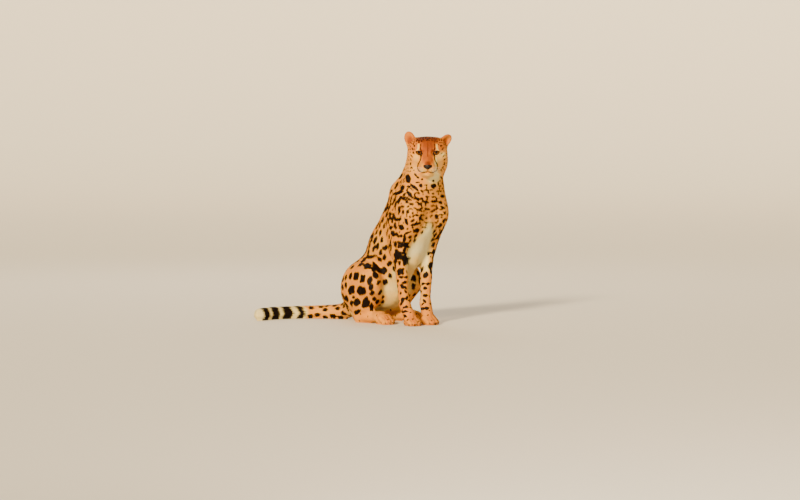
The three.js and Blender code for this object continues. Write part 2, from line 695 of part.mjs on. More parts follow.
for (const [side, s] of Object.entries(SIDES)) {
  parts.set(`eye_${side}`, eyeball(s));
  parts.set('head', parts.get('head').subtract(eyeball(s, GAP)));
  for (const [foot, { x, y }] of Object.entries(PAWS)) {
    TOES.forEach((toe, n) => {
      const root = posed([x + toe.reach + CLAW.forward, s * (y + toe.aside), CLAW.up]);
      fitClaw(`claw_${foot}_${side}_${n + 1}`, `${foot}_${side}`, root, turnAt(x), CLAW.pitch);
    });
  }
  const dew = posed([DEWCLAW.place[0], s * DEWCLAW.place[1], DEWCLAW.place[2]]);
  fitClaw(`dewclaw_${side}`, `forefoot_${side}`, dew, -s * DEWCLAW.yaw, DEWCLAW.pitch);
}

// ---------------------------------------------------------------- finishes and the finished group

const finish = (color, roughness) => new THREE.MeshStandardMaterial({ color, roughness, metalness: 0 });
const coat = () => finish(0xd9a05f, 0.85);
const FINISHES = [
  [/^eye/, () => finish(0x9a6a22, 0.08)],
  [/claw/, () => finish(0x4a4038, 0.4)],
  [/^ear/, () => finish(0xcd8a48, 0.85)],
  [/^tail_5/, () => finish(0xe8d2a4, 0.85)],
];

// The cuts leave some corners a hair apart. They are rounded to one place, and solidFrom drops the faces
// that close up.
function tidied(solid) {
  const { vertProperties, triVerts } = solid.getMesh();
  const geometry = new THREE.BufferGeometry();
  const places = Float32Array.from(vertProperties, (value) => Math.round(value / ROUNDING) * ROUNDING);
  geometry.setAttribute('position', new THREE.BufferAttribute(places, 3));
  geometry.setIndex([...triVerts]);
  return solidOf(geometry);
}

function meshOf(name, solid) {
  const { vertProperties, triVerts } = tidied(solid).getMesh();
  const geometry = new THREE.BufferGeometry();
  geometry.setAttribute('position', new THREE.BufferAttribute(new Float32Array(vertProperties), 3));
  geometry.setIndex([...triVerts]);
  const flat = geometry.toNonIndexed();
  flat.computeVertexNormals();
  const [, material] = FINISHES.find(([pattern]) => pattern.test(name)) || [null, coat];
  const mesh = new THREE.Mesh(flat, material());
  mesh.name = name;
  return mesh;
}

const group = new THREE.Group();
for (const [name, solid] of parts) group.add(meshOf(name, solid));
group.position.z = -FLAT_DEPTH; // the flats under the feet, the rump and the tail lie on the floor

export default group;
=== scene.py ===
# %% [markdown]
# # A cheetah sitting upright, life size
#
# The solids of the body are already here as a fixed frame: a head, a neck, a trunk, legs, a tail, eyes and
# claws, each in its place. They have the right outline, but they are faceted and parted by thin cuts, and
# they have no coat. This lesson gives them one skin without seams, a carved face and paws, the cheetah's
# spots, and short fur that lies the way it lies on the animal.

# %% Load the frame
import math

import bmesh
import bpy
import numpy as np
from mathutils import Matrix, Vector
from mathutils.bvhtree import BVHTree
from mathutils.kdtree import KDTree


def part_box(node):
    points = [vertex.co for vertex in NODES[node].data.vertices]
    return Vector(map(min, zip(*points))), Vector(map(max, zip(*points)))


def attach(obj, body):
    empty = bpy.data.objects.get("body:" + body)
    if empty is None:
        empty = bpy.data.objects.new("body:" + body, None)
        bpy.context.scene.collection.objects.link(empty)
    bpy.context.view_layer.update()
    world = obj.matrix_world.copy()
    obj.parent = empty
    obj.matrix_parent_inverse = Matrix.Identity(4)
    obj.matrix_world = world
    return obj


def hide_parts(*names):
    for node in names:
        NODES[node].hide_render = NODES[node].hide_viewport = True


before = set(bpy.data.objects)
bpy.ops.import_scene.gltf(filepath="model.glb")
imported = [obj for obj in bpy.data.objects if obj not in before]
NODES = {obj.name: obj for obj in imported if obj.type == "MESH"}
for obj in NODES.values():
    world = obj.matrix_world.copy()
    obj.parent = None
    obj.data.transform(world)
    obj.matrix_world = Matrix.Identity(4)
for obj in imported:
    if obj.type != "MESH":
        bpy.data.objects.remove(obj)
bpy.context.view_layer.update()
MM = 0.001
RANDOM = np.random.default_rng(7)

# %% [markdown]
# ## The camera
#
# The animal sits side-on and looks back over its right shoulder, straight at the camera. The camera is far
# away and looks down only a little, as a long lens sees a wild animal, so the body keeps its proportions.
# The face points along the camera's azimuth, so the same angle serves for the gaze of the eyes.

# %% Place the camera
CAMERA_AZIMUTH = math.radians(-44)
CAMERA_ELEVATION = math.radians(2.5)
CAMERA_DISTANCE = 10.0
FRAME_WIDTH = 3.44  # metres across the view at the animal
SENSOR_WIDTH = 36  # millimetres
AIM_ACROSS, AIM_AHEAD, AIM_UP = 0.172, 0.16, 0.314  # where the camera looks, from the floor under the rump


def direction(azimuth, elevation=0.0):
    flat = math.cos(elevation)
    return Vector((flat * math.cos(azimuth), flat * math.sin(azimuth), math.sin(elevation)))


to_camera = direction(CAMERA_AZIMUTH, CAMERA_ELEVATION)
view_right = direction(CAMERA_AZIMUTH + math.pi / 2)
view_up = to_camera.cross(view_right)
aim = view_right * AIM_ACROSS + direction(CAMERA_AZIMUTH) * AIM_AHEAD + Vector((0, 0, AIM_UP))
camera = bpy.data.objects.new("camera", bpy.data.cameras.new("camera"))
camera.location = aim + to_camera * CAMERA_DISTANCE
camera.rotation_euler = to_camera.to_track_quat("Z", "Y").to_euler()
camera.data.sensor_width = SENSOR_WIDTH
camera.data.lens = SENSOR_WIDTH * CAMERA_DISTANCE / FRAME_WIDTH
camera.data.clip_end = 20 * CAMERA_DISTANCE
bpy.context.scene.collection.objects.link(camera)
bpy.context.scene.camera = camera
print("camera lens:", round(camera.data.lens, 1), "mm")

# %% [markdown]
# ## Floor and light
#
# A museum shows such a model on a plain sweep: a floor that curves up into the backdrop, so that no horizon
# shows. Spinning one bent profile all the way round gives a sweep for every side at once.

# %% The floor
def plain_finish(name, colour, roughness):
    """A one-colour finish, for what isn't part of the animal."""
    material = bpy.data.materials.new(name)
    material.use_nodes = True
    shader = material.node_tree.nodes["Principled BSDF"]
    shader.inputs["Base Color"].default_value = (*colour, 1)
    shader.inputs["Roughness"].default_value = roughness
    return material


def add_object(name, mesh):
    piece = bpy.data.objects.new(name, mesh)
    bpy.context.scene.collection.objects.link(piece)
    return piece


def mesh_from(bm, name):
    """Turns a finished bmesh into a mesh."""
    mesh = bpy.data.meshes.new(name)
    bm.to_mesh(mesh)
    bm.free()
    return mesh


FLOOR_RADIUS, SWEEP_RADIUS, WALL_TOP = 20.0, 14.0, 30.0  # metres
STEPS_UP, STEPS_ROUND = 9, 72

bm = bmesh.new()
profile = [(0, 0), (FLOOR_RADIUS, 0)]
for step in range(1, STEPS_UP + 1):
    turn = math.radians(90 * step / STEPS_UP)
    profile.append((FLOOR_RADIUS + SWEEP_RADIUS * math.sin(turn), SWEEP_RADIUS * (1 - math.cos(turn))))
profile.append((FLOOR_RADIUS + SWEEP_RADIUS, WALL_TOP))
verts = [bm.verts.new((out, 0, up)) for out, up in profile]
edges = [bm.edges.new(pair) for pair in zip(verts, verts[1:])]
bmesh.ops.spin(bm, geom=verts + edges, axis=(0, 0, 1), cent=(0, 0, 0),
               angle=math.tau, steps=STEPS_ROUND, use_merge=True)
bmesh.ops.remove_doubles(bm, verts=bm.verts, dist=MM)
bmesh.ops.recalc_face_normals(bm, faces=bm.faces)
floor = add_object("floor", mesh_from(bm, "floor"))
floor.data.materials.append(plain_finish("pale floor", (0.80, 0.77, 0.72), 0.8))
floor.data.shade_smooth()
floor.visible_shadow = False  # the far wall must not shade the floor
print("floor:", len(floor.data.polygons), "faces")

# %% [markdown]
# The light comes from the animal's right and low, a little warm, like late sun through a large window, so
# that it models the chest and the haunch and leaves the far side of the face in half shade. A sun lamp lights
# floor and backdrop evenly, and its wide angle softens the edges of the shadows. Two big area lights, far
# weaker, open up the shade and draw an edge along the back.

# %% Surround and lights
LIGHTS_AIM, LIGHTS_DISTANCE = Vector((0.25, 0, 0.4)), 5  # metres

world = bpy.data.worlds.new("pale surround")
world.use_nodes = True
world.node_tree.nodes["Background"].inputs["Color"].default_value = (0.80, 0.80, 0.80, 1)
world.node_tree.nodes["Background"].inputs["Strength"].default_value = 0.29
bpy.context.scene.world = world


def add_light(name, kind, azimuth, elevation, energy, colour):
    """A light that shines on the animal from this direction, in degrees."""
    light = bpy.data.lights.new(name, kind)
    light.energy = energy
    light.color = colour
    lamp = bpy.data.objects.new(name, light)
    towards = direction(math.radians(azimuth), math.radians(elevation))
    lamp.location = LIGHTS_AIM + towards * LIGHTS_DISTANCE
    lamp.rotation_euler = towards.to_track_quat("Z", "Y").to_euler()
    bpy.context.scene.collection.objects.link(lamp)
    return light


add_light("key light", "SUN", -66, 22, 7.2, (1.0, 0.79, 0.47)).angle = math.radians(9)
add_light("fill light", "AREA", -30, 8, 45, (1.0, 0.86, 0.66)).size = 3.0
add_light("rim light", "AREA", 150, 40, 50, (1.0, 0.93, 0.84)).size = 2.0

# %% [markdown]
# ## One skin over all the flesh
#
# The living animal has one skin with no seams. It could be modelled anew, but its outline is already true
# in the solids, so copies of them are joined instead. Each copy is swollen by a hair so that the thin cuts
# close, then a voxel remesh melts them all into one even surface, and smoothing takes the facets away. The
# eyes are melted in too, so that the sockets are filled, and the claws are left out.

# %% Melt the flesh into one surface
SKIN_VOXEL = 5.5 * MM
CUT_CLOSING = 0.45 * MM
WELD = 0.001 * MM
FLESH = [name for name in NODES if not name.startswith(("eye", "claw", "dewclaw"))]
EYES = ["eye_left", "eye_right"]


def welded(names):
    """A bmesh of copies of these nodes, with the loose triangles of each welded together."""
    bm = bmesh.new()
    for name in names:
        bm.from_mesh(NODES[name].data)
    bmesh.ops.remove_doubles(bm, verts=bm.verts, dist=WELD)
    bm.normal_update()
    return bm


def applied(piece):
    """Replaces a piece's mesh by the mesh that its modifiers make."""
    mesh = bpy.data.meshes.new_from_object(piece.evaluated_get(bpy.context.evaluated_depsgraph_get()))
    piece.modifiers.clear()
    piece.data = mesh
    return mesh


bm = welded(FLESH + EYES)
for vert in bm.verts:
    vert.co += vert.normal * CUT_CLOSING
skin = add_object("skin", mesh_from(bm, "skin"))
melt = skin.modifiers.new("melt", "REMESH")
melt.mode = "VOXEL"
melt.voxel_size = SKIN_VOXEL
applied(skin)
print("melted skin:", len(skin.data.vertices), "vertices")

# %% [markdown]
# The face, the ears and the paws need a finer mesh than the flanks. To find them, the head gets axes of its
# own: left along the line between the eyes, and forward and up square to it, with the head's slight pitch.

# %% The head's axes
HEAD_PITCH = math.radians(3)
EYE_AHEAD, EYE_ASIDE, EYE_RADIUS = 47, 36.5, 17  # millimetres, from the middle of the head


def centre_of(node):
    low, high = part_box(node)
    return (Vector(low) + Vector(high)) / 2


head_left = (centre_of("eye_left") - centre_of("eye_right")).normalized()
level_forward = head_left.cross(Vector((0, 0, 1))).normalized()
head_forward = (Matrix.Rotation(HEAD_PITCH, 3, head_left) @ level_forward).normalized()
head_up = head_forward.cross(head_left)
HEAD_AXES = np.array([head_forward, head_left, head_up])
HEAD_MIDDLE = np.array((centre_of("eye_left") + centre_of("eye_right")) / 2) - EYE_AHEAD * MM * HEAD_AXES[0]


def in_head(points):
    """Points of the frame in the head's axes, in millimetres."""
    return (np.asarray(points) - HEAD_MIDDLE) @ HEAD_AXES.T / MM


def from_head(points):
    return np.asarray(points, float) * MM @ HEAD_AXES + HEAD_MIDDLE


print("head middle:", HEAD_MIDDLE.round(4), "forward:", HEAD_AXES[0].round(3))

# %% [markdown]
# Plain arrays of points are quicker to work on than one vertex at a time, so a few helpers carry points and
# values between a mesh and numpy. Two more average a value over each vertex's neighbours, which is how a
# value is blurred over a surface, and smoothstep gives a soft change from 0 to 1. With them the facets are
# smoothed away, and then the faces of the head and the paws are cut into four, and the face's once more.

# %% Arrays of a mesh
def read(data, field, width, kind=np.float32):
    """One field of all the parts of a mesh, as an array with this many columns."""
    flat = np.empty(len(data) * width, kind)
    data.foreach_get(field, flat)
    return flat.reshape(-1, width) if width > 1 else flat


def points_of(mesh):
    return read(mesh.vertices, "co", 3).astype(float)


def set_points(mesh, points):
    mesh.vertices.foreach_set("co", points.astype(np.float32).ravel())
    mesh.update()


def normals_of(mesh):
    return read(mesh.vertex_normals, "vector", 3).astype(float)


def edges_of(mesh):
    return read(mesh.edges, "vertices", 2, np.int32)


def store(mesh, name, values):
    """Keeps a number or a direction for each vertex in the mesh."""
    kind, field = ("FLOAT_VECTOR", "vector") if values.ndim == 2 else ("FLOAT", "value")
    mesh.attributes.new(name, kind, "POINT").data.foreach_set(field, values.astype(np.float32).ravel())


# %% Directions, soft steps and blurs
def unit(vectors):
    return vectors / np.maximum(np.linalg.norm(vectors, axis=-1, keepdims=True), 1e-9)


def smoothstep(x, low, high):
    t = np.clip((x - low) / (high - low), 0, 1)
    return t * t * (3 - 2 * t)


def neighbour_mean(values, edges):
    """Each vertex's mean of its neighbours' values."""
    count = np.bincount(edges.ravel(), minlength=len(values))
    columns = values if values.ndim == 2 else values[:, None]
    total = [
        np.bincount(edges[:, 0], column[edges[:, 1]], len(values))
        + np.bincount(edges[:, 1], column[edges[:, 0]], len(values))
        for column in columns.T
    ]
    mean = np.array(total).T / np.maximum(count, 1)[:, None]
    return mean if values.ndim == 2 else mean[:, 0]


def spread(values, edges, rounds, share=0.5):
    """Blurs a value over the surface."""
    for _ in range(rounds):
        values = values + share * (neighbour_mean(values, edges) - values)
    return values


starts, ends = points_of(skin.data)[edges_of(skin.data)].transpose(1, 0, 2)
print("mean edge of the melted skin:", np.linalg.norm(ends - starts, axis=1).mean().round(5), "m")

# %% Smooth the facets away, and refine the head and the paws
FACE_HALF = 62  # millimetres, of the part of the face that is cut finest
PAW_HEIGHT, PAWS_FROM = 62 * MM, 0.2  # metres up, and metres along the body
JAW_HEIGHT = 0.6  # metres above the floor
SHRINK, SWELL = 0.55, -0.57  # shares of the way to the neighbours, and back


def refine(mesh, wanted):
    """Cuts the faces whose middle passes the test into four."""
    bm = bmesh.new()
    bm.from_mesh(mesh)
    edges = {edge for face in bm.faces if wanted(face.calc_center_median()) for edge in face.edges}
    bmesh.ops.subdivide_edges(bm, edges=list(edges), cuts=1, use_grid_fill=True)
    bmesh.ops.triangulate(bm, faces=[face for face in bm.faces if len(face.verts) > 4])
    bm.to_mesh(mesh)
    bm.free()


def on_head_or_paw(point):
    ahead, aside, up = in_head(point)
    head = ahead + 0.6 * up > -46 and up > -118
    return head and point.z > JAW_HEIGHT or point.z < PAW_HEIGHT and point.x > PAWS_FROM


def on_face(point):
    ahead, aside, up = in_head(point)
    return ahead > 30 and abs(aside) < FACE_HALF and -104 < up < 26


def smooth_facets(mesh, rounds=24):
    """Smooths forwards and back by turns, so that nothing shrinks."""
    edges = edges_of(mesh)
    points = points_of(mesh)
    for _ in range(rounds):
        points = spread(points, edges, 1, SHRINK)
        points = spread(points, edges, 1, SWELL)
    set_points(mesh, points)


smooth_facets(skin.data)
refine(skin.data, on_head_or_paw)
refine(skin.data, on_face)
print("refined skin:", len(skin.data.vertices), "vertices,", len(skin.data.polygons), "faces")

# %% [markdown]
# ## Clay for the face and the paws
#
# A face could be sculpted by pulling vertices one by one. Here it is described instead: eggs and tapered
# bars, named after the muscles and bones that they stand for, melt into each other as clay does. Each form
# answers one question: how far is this point from its surface? Joining the answers gives the distance to the
# whole head, and the skin's vertices are drawn along it until that distance is nothing.

# %% Clay
def length(vectors):
    return np.sqrt((vectors * vectors).sum(-1))


class Clay:
    """The distance in millimetres from many points to a lump that grows form by form."""

    def __init__(self, points, across=(0, 1, 0)):
        self.points = points
        self.across = unit(np.array(across, float))
        self.distance = np.full(len(points), 1e3)

    def add(self, form, melt):
        gap = np.maximum(melt - np.abs(self.distance - form), 0) / melt
        self.distance = np.minimum(self.distance, form) - gap * gap * melt / 4

    def take_away(self, form, melt):
        gap = np.maximum(melt - np.abs(self.distance + form), 0) / melt
        self.distance = np.maximum(self.distance, -form) + gap * gap * melt / 4

    def egg(self, centre, radii, turn=np.eye(3)):
        scaled = (self.points - centre) @ turn / radii
        size = length(scaled)
        return size * (size - 1) / np.maximum(length(scaled / radii), 1e-6)

    def bar(self, start, end, start_radius, end_radius, aside=1.0):
        """A rounded bar whose radius changes along it. aside is its breadth over its depth."""
        start, end = np.array(start, float), np.array(end, float)
        squeeze = np.eye(3) + np.outer(self.across, self.across) * (1 / aside - 1)
        axis = squeeze @ (end - start)
        offset = (self.points - start) @ squeeze
        long2 = axis @ axis
        slope = start_radius - end_radius
        along = offset @ axis
        past = along - long2
        off2 = ((offset * long2 - along[:, None] * axis) ** 2).sum(1)
        along2, past2 = along ** 2 * long2, past ** 2 * long2
        lean = np.sign(slope) * slope ** 2 * off2
        flank2 = long2 - slope ** 2
        side = (np.sqrt(off2 * flank2 / long2) + along * slope) / long2 - start_radius
        at_end = np.sqrt(off2 + past2) / long2 - end_radius
        at_start = np.sqrt(off2 + along2) / long2 - start_radius
        side = np.where(np.sign(along) * flank2 * along2 < lean, at_start, side)
        return min(1, aside) * np.where(np.sign(past) * flank2 * past2 > lean, at_end, side)

    def add_egg(self, centre, radii, melt, **turn):
        self.add(self.egg(centre, radii, **turn), melt)

    def add_bar(self, start, end, start_radius, end_radius, melt, aside=1.0):
        self.add(self.bar(start, end, start_radius, end_radius, aside), melt)


def to_line(points, corners):
    """Distances from points to a line with these corners, and how far along it they are, from 0 to 1."""
    corners = np.array(corners, float)
    nearest = np.full(len(points), 1e3)
    share = np.zeros(len(points))
    steps = len(corners) - 1
    for i, (start, end) in enumerate(zip(corners, corners[1:])):
        axis = end - start
        t = np.clip((points - start) @ axis / (axis @ axis), 0, 1)
        distance = length(points - start - t[:, None] * axis)
        share = np.where(distance < nearest, (i + t) / steps, share)
        nearest = np.minimum(nearest, distance)
    return nearest, share


ball = Clay(np.array([[13.0, 0, 0]])).egg((0, 0, 0), (10, 10, 10))
print("a point 13 mm from the middle of a ball of 10 mm is outside it by", ball[0], "mm")

# %% [markdown]
# The face is built from the back forwards: brain case, forehead, cheeks and their bones, the bridge and the
# muzzle, two whisker pads, chin and jaw. Around each eyeball a shell stands for the lids, and an almond
# window cut in it shows the eye. Nostrils, the groove under the nose and the line of the mouth are shallow
# dents, so they are simply added to the distance. The same outlines serve again when the face is coloured.

# %% Eyes, mouth and ears: their outlines
EYE = np.array([EYE_AHEAD, EYE_ASIDE, 0.0])
LID, BEHIND_LID = 1.5, 1.4  # millimetres of lid over the eyeball, and of the gap behind its edge
EYE_SLANT = math.radians(17)
EYE_HALF_WIDTH, UPPER_LID, LOWER_LID = 12.8, 6.0, 7.2
MOUTH_LINE = [(0, -76), (7, -80), (16, -82), (24, -80.5), (30, -78), (35, -77)]
NOSTRIL = [(7, -61), (10.5, -56.5), (14.5, -55)]
GROOVE = [(0, -65), (0, -76)]
EAR_RADII = (11, 25, 33)
EAR_SHAPES = {
    1: {"centre": (-26, 76, 46), "lean": math.radians(42), "turn": math.radians(34)},
    -1: {"centre": (-22, -74, 54), "lean": math.radians(18), "turn": math.radians(22)},
}


def eye_window(points, side):
    """How far points are outside the almond window of an eye, seen from the front."""
    out, up = (points[:, 1] - side * EYE[1]) * side, points[:, 2] - EYE[2]
    across = out * math.cos(EYE_SLANT) + up * math.sin(EYE_SLANT)
    rise = up * math.cos(EYE_SLANT) - out * math.sin(EYE_SLANT)
    share = np.abs(across / EYE_HALF_WIDTH)
    return np.maximum(rise - UPPER_LID * (1 - share ** 2.6), -rise - LOWER_LID * (1 - share ** 2))


def ear_axes(side):
    """The axes of an ear: leaning outwards, and its open side swung outwards."""
    ear = EAR_SHAPES[side]
    lean = Matrix.Rotation(-side * ear["lean"], 3, "X")
    return np.array(lean @ Matrix.Rotation(side * ear["turn"], 3, "Z"))


print("eye opening:", 2 * EYE_HALF_WIDTH, "by", UPPER_LID + LOWER_LID, "mm")

# %% [markdown]
# From the loins forwards the body swings a little towards the viewer. The neck is simpler to describe on the
# straight body, so its points are turned along with it, and then given in the head's axes like all the rest.

# %% The neck
BODY_TURN = math.radians(-5)  # the body swings towards the viewer, from the loins forwards
PIVOT = np.array([150.0, 0, 0])
SETTLED_PIVOT = np.array([150.0, 0, -1.5])  # where the pivot is once the body rests on the floor
NECK_TURN = np.array(Matrix.Rotation(BODY_TURN, 3, "Z"))


def neck_point(x, y, z):
    """A point of the straight body, in the head's axes."""
    return in_head(((NECK_TURN @ (np.array([x, y, z]) - PIVOT)) + SETTLED_PIVOT) * MM)


def add_neck(clay):
    clay.across = HEAD_AXES @ NECK_TURN @ (0, 1, 0)
    clay.add_bar(neck_point(330, 0, 560), neck_point(404, 0, 712), 70, 54, 40, aside=0.92)  # nape
    clay.add_bar(neck_point(405, 0, 540), neck_point(446, 0, 664), 70, 48, 40, aside=1.05)  # throat
    clay.add_bar(neck_point(374, 4, 640), (-38, 0, -12), 46, 48, 40)  # up into the head
    for side in (1, -1):  # the muscles at the sides
        clay.add_bar(neck_point(400, side * 54, 535), neck_point(428, side * 36, 655), 64, 42, 40)
    clay.across = np.array([0, 1, 0])


print("the throat starts at", neck_point(405, 0, 540).round(), "in the head's axes")


# %% The head
def add_head(clay):
    clay.add_egg((-24, 0, 0), (66, 72, 60), 20)  # brain case
    clay.add_bar((-10, -36, 30), (-10, 36, 30), 33, 33, 16)  # crown
    clay.add_egg((14, 0, 20), (44, 54, 40), 18)  # forehead
    clay.add_egg((14, 0, -22), (50, 66, 48), 20)  # face
    clay.add_bar((40, 0, -6), (91, 0, -48), 27, 18, 16, aside=1.15)  # bridge of the nose
    clay.add_bar((40, 0, -46), (84, 0, -60), 41, 25, 16)  # muzzle
    clay.add_egg((80, 0, -88), (20, 17, 13), 10)  # chin
    clay.add_egg((0, 0, -74), (58, 46, 32), 24)  # floor of the jaw
    for side in (1, -1):
        clay.add_egg((-6, side * 52, -30), (50, 34, 44), 18)  # cheek
        clay.add_egg((-10, side * 50, 6), (44, 32, 44), 18)  # temple
        clay.add_egg((-26, side * 68, 34), (18, 20, 24), 14)  # root of the ear
        clay.add_egg((-34, side * 52, -54), (42, 32, 46), 20)  # ruff behind the jaw
        clay.add_bar((54, side * 14, 17), (36, side * 44, 14), 13, 14, 16)  # brow
        clay.add_bar((58, side * 26, -28), (28, side * 54, -20), 17, 22, 18)  # cheek bone
        clay.add_egg((85, side * 16, -64), (25, 18, 20), 7)  # whisker pad
        clay.add_bar((68, side * 12, -86), (0, side * 40, -70), 14, 26, 14)  # lower jaw
    clay.add_egg((105, 0, -56), (10, 18, 11), 6)  # nose


clay = Clay(np.array([[130.0, 0, -56]]))
add_head(clay)
print("the nose ends", round(130 - clay.distance[0]), "mm ahead of the middle of the head")


# %% Ears, lids, nostrils and mouth
def add_ears(clay):
    for side, ear in EAR_SHAPES.items():
        axes = ear_axes(side)
        centre = np.array(ear["centre"])
        clay.add_egg(centre, EAR_RADII, 8, turn=axes)
        cup = centre + axes @ (12, 0, 4)
        clay.take_away(clay.egg(cup, (13, 19, 26), axes), 3)
        fold = centre + axes @ (3, side * 15, -16)
        clay.add_egg(fold, (5, 5, 12), 5, turn=axes)


def add_lids(clay):
    for side in (1, -1):
        centre = EYE * (1, side, 1)
        from_eye = length(clay.points - centre)
        clay.take_away(clay.egg(centre + (21, side, 0), (15, 18, 12)), 9)  # hollow round the eye
        clay.add(from_eye - EYE_RADIUS - LID, 5)
        window = np.maximum(eye_window(clay.points, side), EYE_RADIUS - BEHIND_LID - from_eye)
        behind = centre[0] - 4 - clay.points[:, 0]
        clay.take_away(np.maximum(window, behind), 0.8)


def dents(points):
    """How much deeper the surface lies in the nostrils, under the nose and along the mouth."""
    front = smoothstep(points[:, 0], 44, 60)
    mirrored = np.column_stack([np.abs(points[:, 1]), points[:, 2]])
    mouth, along = to_line(mirrored, MOUTH_LINE)
    nostril, _ = to_line(mirrored, NOSTRIL)
    groove, _ = to_line(mirrored, GROOVE)
    return front * (
        (3.4 - 1.2 * along) * np.exp(-((mouth / 2.3) ** 2))
        + 5.0 * np.exp(-((nostril / 2.4) ** 2))
        + 2.2 * np.exp(-((groove / 1.8) ** 2))
    )


def head_clay(points):
    clay = Clay(points)
    add_neck(clay)
    add_head(clay)
    add_ears(clay)
    add_lids(clay)
    return clay.distance + dents(points)


behind = head_clay(EYE[None] + (EYE_RADIUS, 0, 0))[0]
print("the clay round the eye ends", behind.round(2), "mm behind the eye's front")

# %% [markdown]
# Drawing the vertices onto the clay takes a few rounds. In each round a vertex moves along the slope of the
# distance by what is left of it, then slides along the surface towards the middle of its neighbours, so that
# the mesh stays even. Behind the jaw the pull fades out, and the skin goes on as it was.

# %% Draw the skin onto the clay
PROBE = 0.25  # millimetres, between the two distances that give a slope
LONGEST_MOVE = 8  # millimetres, in one round
SLIDE = 0.5  # of the way towards the neighbours


def carve(mesh, to_clay, from_clay, clay, weight, rounds=7):
    """Draws the weighted vertices of a mesh onto the surface of a lump of clay."""
    every = points_of(mesh)
    edges = edges_of(mesh)
    chosen = np.flatnonzero(weight > 0)
    share = weight[chosen, None]
    for turn in range(rounds):
        points = to_clay(every)
        middle = neighbour_mean(points, edges)[chosen]
        points = points[chosen]
        left = clay(points)
        slope = np.array([(clay(points + PROBE * axis) - left) / PROBE for axis in np.eye(3)]).T
        size2 = np.maximum((slope ** 2).sum(1), 0.3)[:, None]
        onto = np.clip(-left[:, None] * slope / size2, -LONGEST_MOVE, LONGEST_MOVE)
        slide = middle - points
        slide -= slope * (slide * slope).sum(1)[:, None] / size2
        moved = points + share * (onto + (SLIDE * slide if turn < rounds - 2 else 0))
        every[chosen] = from_clay(moved)
    set_points(mesh, every)
    print("carved", len(chosen), "vertices, left over:", np.abs(left * share[:, 0]).mean().round(3), "mm")


HEAD_CUT, HEAD_CUT_LEAN = np.array([-40, 0, -76]), math.radians(31)
cut_normal = np.array([math.sin(HEAD_CUT_LEAN), 0, math.cos(HEAD_CUT_LEAN)])
past_cut = (in_head(points_of(skin.data)) - HEAD_CUT) @ cut_normal
above_chest = points_of(skin.data)[:, 2] > 0.58
carve(skin.data, in_head, from_head, head_clay, smoothstep(past_cut, -6, 26) * above_chest)

# %% [markdown]
# A paw has four toes, each with a raised knuckle and a blunt tip over its claw, and a pad that it stands on.
# The clay is the same for the fore and the hind paw, only what comes down to it differs.

# %% The paws
PAWS = {"forefoot": (386, 48), "hindfoot": (250, 87)}  # where the middle of each paw is, ahead and aside
TOES = [(-24, 30), (-8.5, 41), (8.5, 41), (24, 30)]  # how far aside each toe lies, and its reach


def paw_clay(kind, side):
    x, y = PAWS[kind]

    def clay_at(points):
        clay = Clay(points)
        if kind == "forefoot":
            clay.add_bar((354, side * 66, 205), (357, side * 58, 100), 27, 23, 10, aside=0.95)  # foreleg
            clay.add_egg((358, side * 57, 96), (25, 26, 26), 10)  # wrist
            clay.add_bar((362, side * 56, 84), (x, side * y, 40), 24, 24, 10, aside=1.12)  # down to the paw
        else:
            clay.add_bar((90, side * 92, 27), (230, side * 88, 32), 24, 25, 12)  # from the heel forwards
            clay.add_egg((x - 18, side * y, 28), (36, 29, 23), 16)  # instep
        clay.add_egg((x - 4, side * y, 14), (30, 26, 15), 8)  # pad
        for aside, reach in TOES:
            knuckle = (x + reach - 24, side * (y + aside), 30)
            clay.add_bar((x, side * (y + 0.7 * aside), 36), knuckle, 14, 13, 6)
            clay.add_bar(knuckle, (x + reach, side * (y + aside), 13.5), 13, 12.5, 2.5)
        return clay.distance

    return clay_at


def posed_from(x):
    """The turn of the body about the vertical at this place along it, as a matrix."""
    return np.array(Matrix.Rotation(BODY_TURN * smoothstep(np.float64(x), 80, 330), 3, "Z"))


def straightened(points, x):
    """Points in millimetres, without the turn that the body has at x."""
    return (points - SETTLED_PIVOT) @ posed_from(x) + PIVOT


def carve_paw(kind, side):
    """Draws the skin of one foot onto its clay, and leaves the shank and the sole as they are."""
    x = PAWS[kind][0]

    def to_paw(points):
        return straightened(points / MM, x)

    def from_paw(points):
        return ((points - PIVOT) @ posed_from(x).T + SETTLED_PIVOT) * MM

    ahead, aside, up = to_paw(points_of(skin.data)).T
    near = smoothstep(ahead, x - 56, x - 12) * (ahead < x + 62) * (aside * side > 4)
    weight = near * smoothstep(-up, -66, -48) * (up > 2.5)
    carve(skin.data, to_paw, from_paw, paw_clay(kind, side), weight)


for kind in PAWS:
    for side in (1, -1):
        carve_paw(kind, side)

# %% [markdown]
# ## Which part of the body is where
#
# Coat length, its lie and the size of the spots change from part to part. The solids know their parts by
# name, so each vertex of the skin asks which solid is nearest. Values given part by part are then blurred
# over the surface, as nothing on an animal changes at a line.

# %% Ask each vertex for its part
def part_finder():
    """A tree of all the flesh, and the name of the node that each of its faces comes from."""
    corners, faces, names = [], [], []
    for name in FLESH:
        mesh = NODES[name].data
        start = len(corners)
        corners += [vert.co for vert in mesh.vertices]
        faces += [[start + i for i in face.vertices] for face in mesh.polygons]
        names += [name] * len(mesh.polygons)
    return BVHTree.FromPolygons(corners, faces), names


flesh_tree, face_parts = part_finder()
SKIN_POINTS = points_of(skin.data)
SKIN_EDGES = edges_of(skin.data)
part_at = np.array([face_parts[flesh_tree.find_nearest(point)[2]] for point in SKIN_POINTS])
POINTS_MM = SKIN_POINTS / MM
IN_HEAD = in_head(SKIN_POINTS)
MIRRORED = np.column_stack([IN_HEAD[:, 0], np.abs(IN_HEAD[:, 1]), IN_HEAD[:, 2]])
X, Y, Z = POINTS_MM.T  # in the frame's axes
HX, HY, HZ = IN_HEAD.T  # ahead, left and up in the head's axes


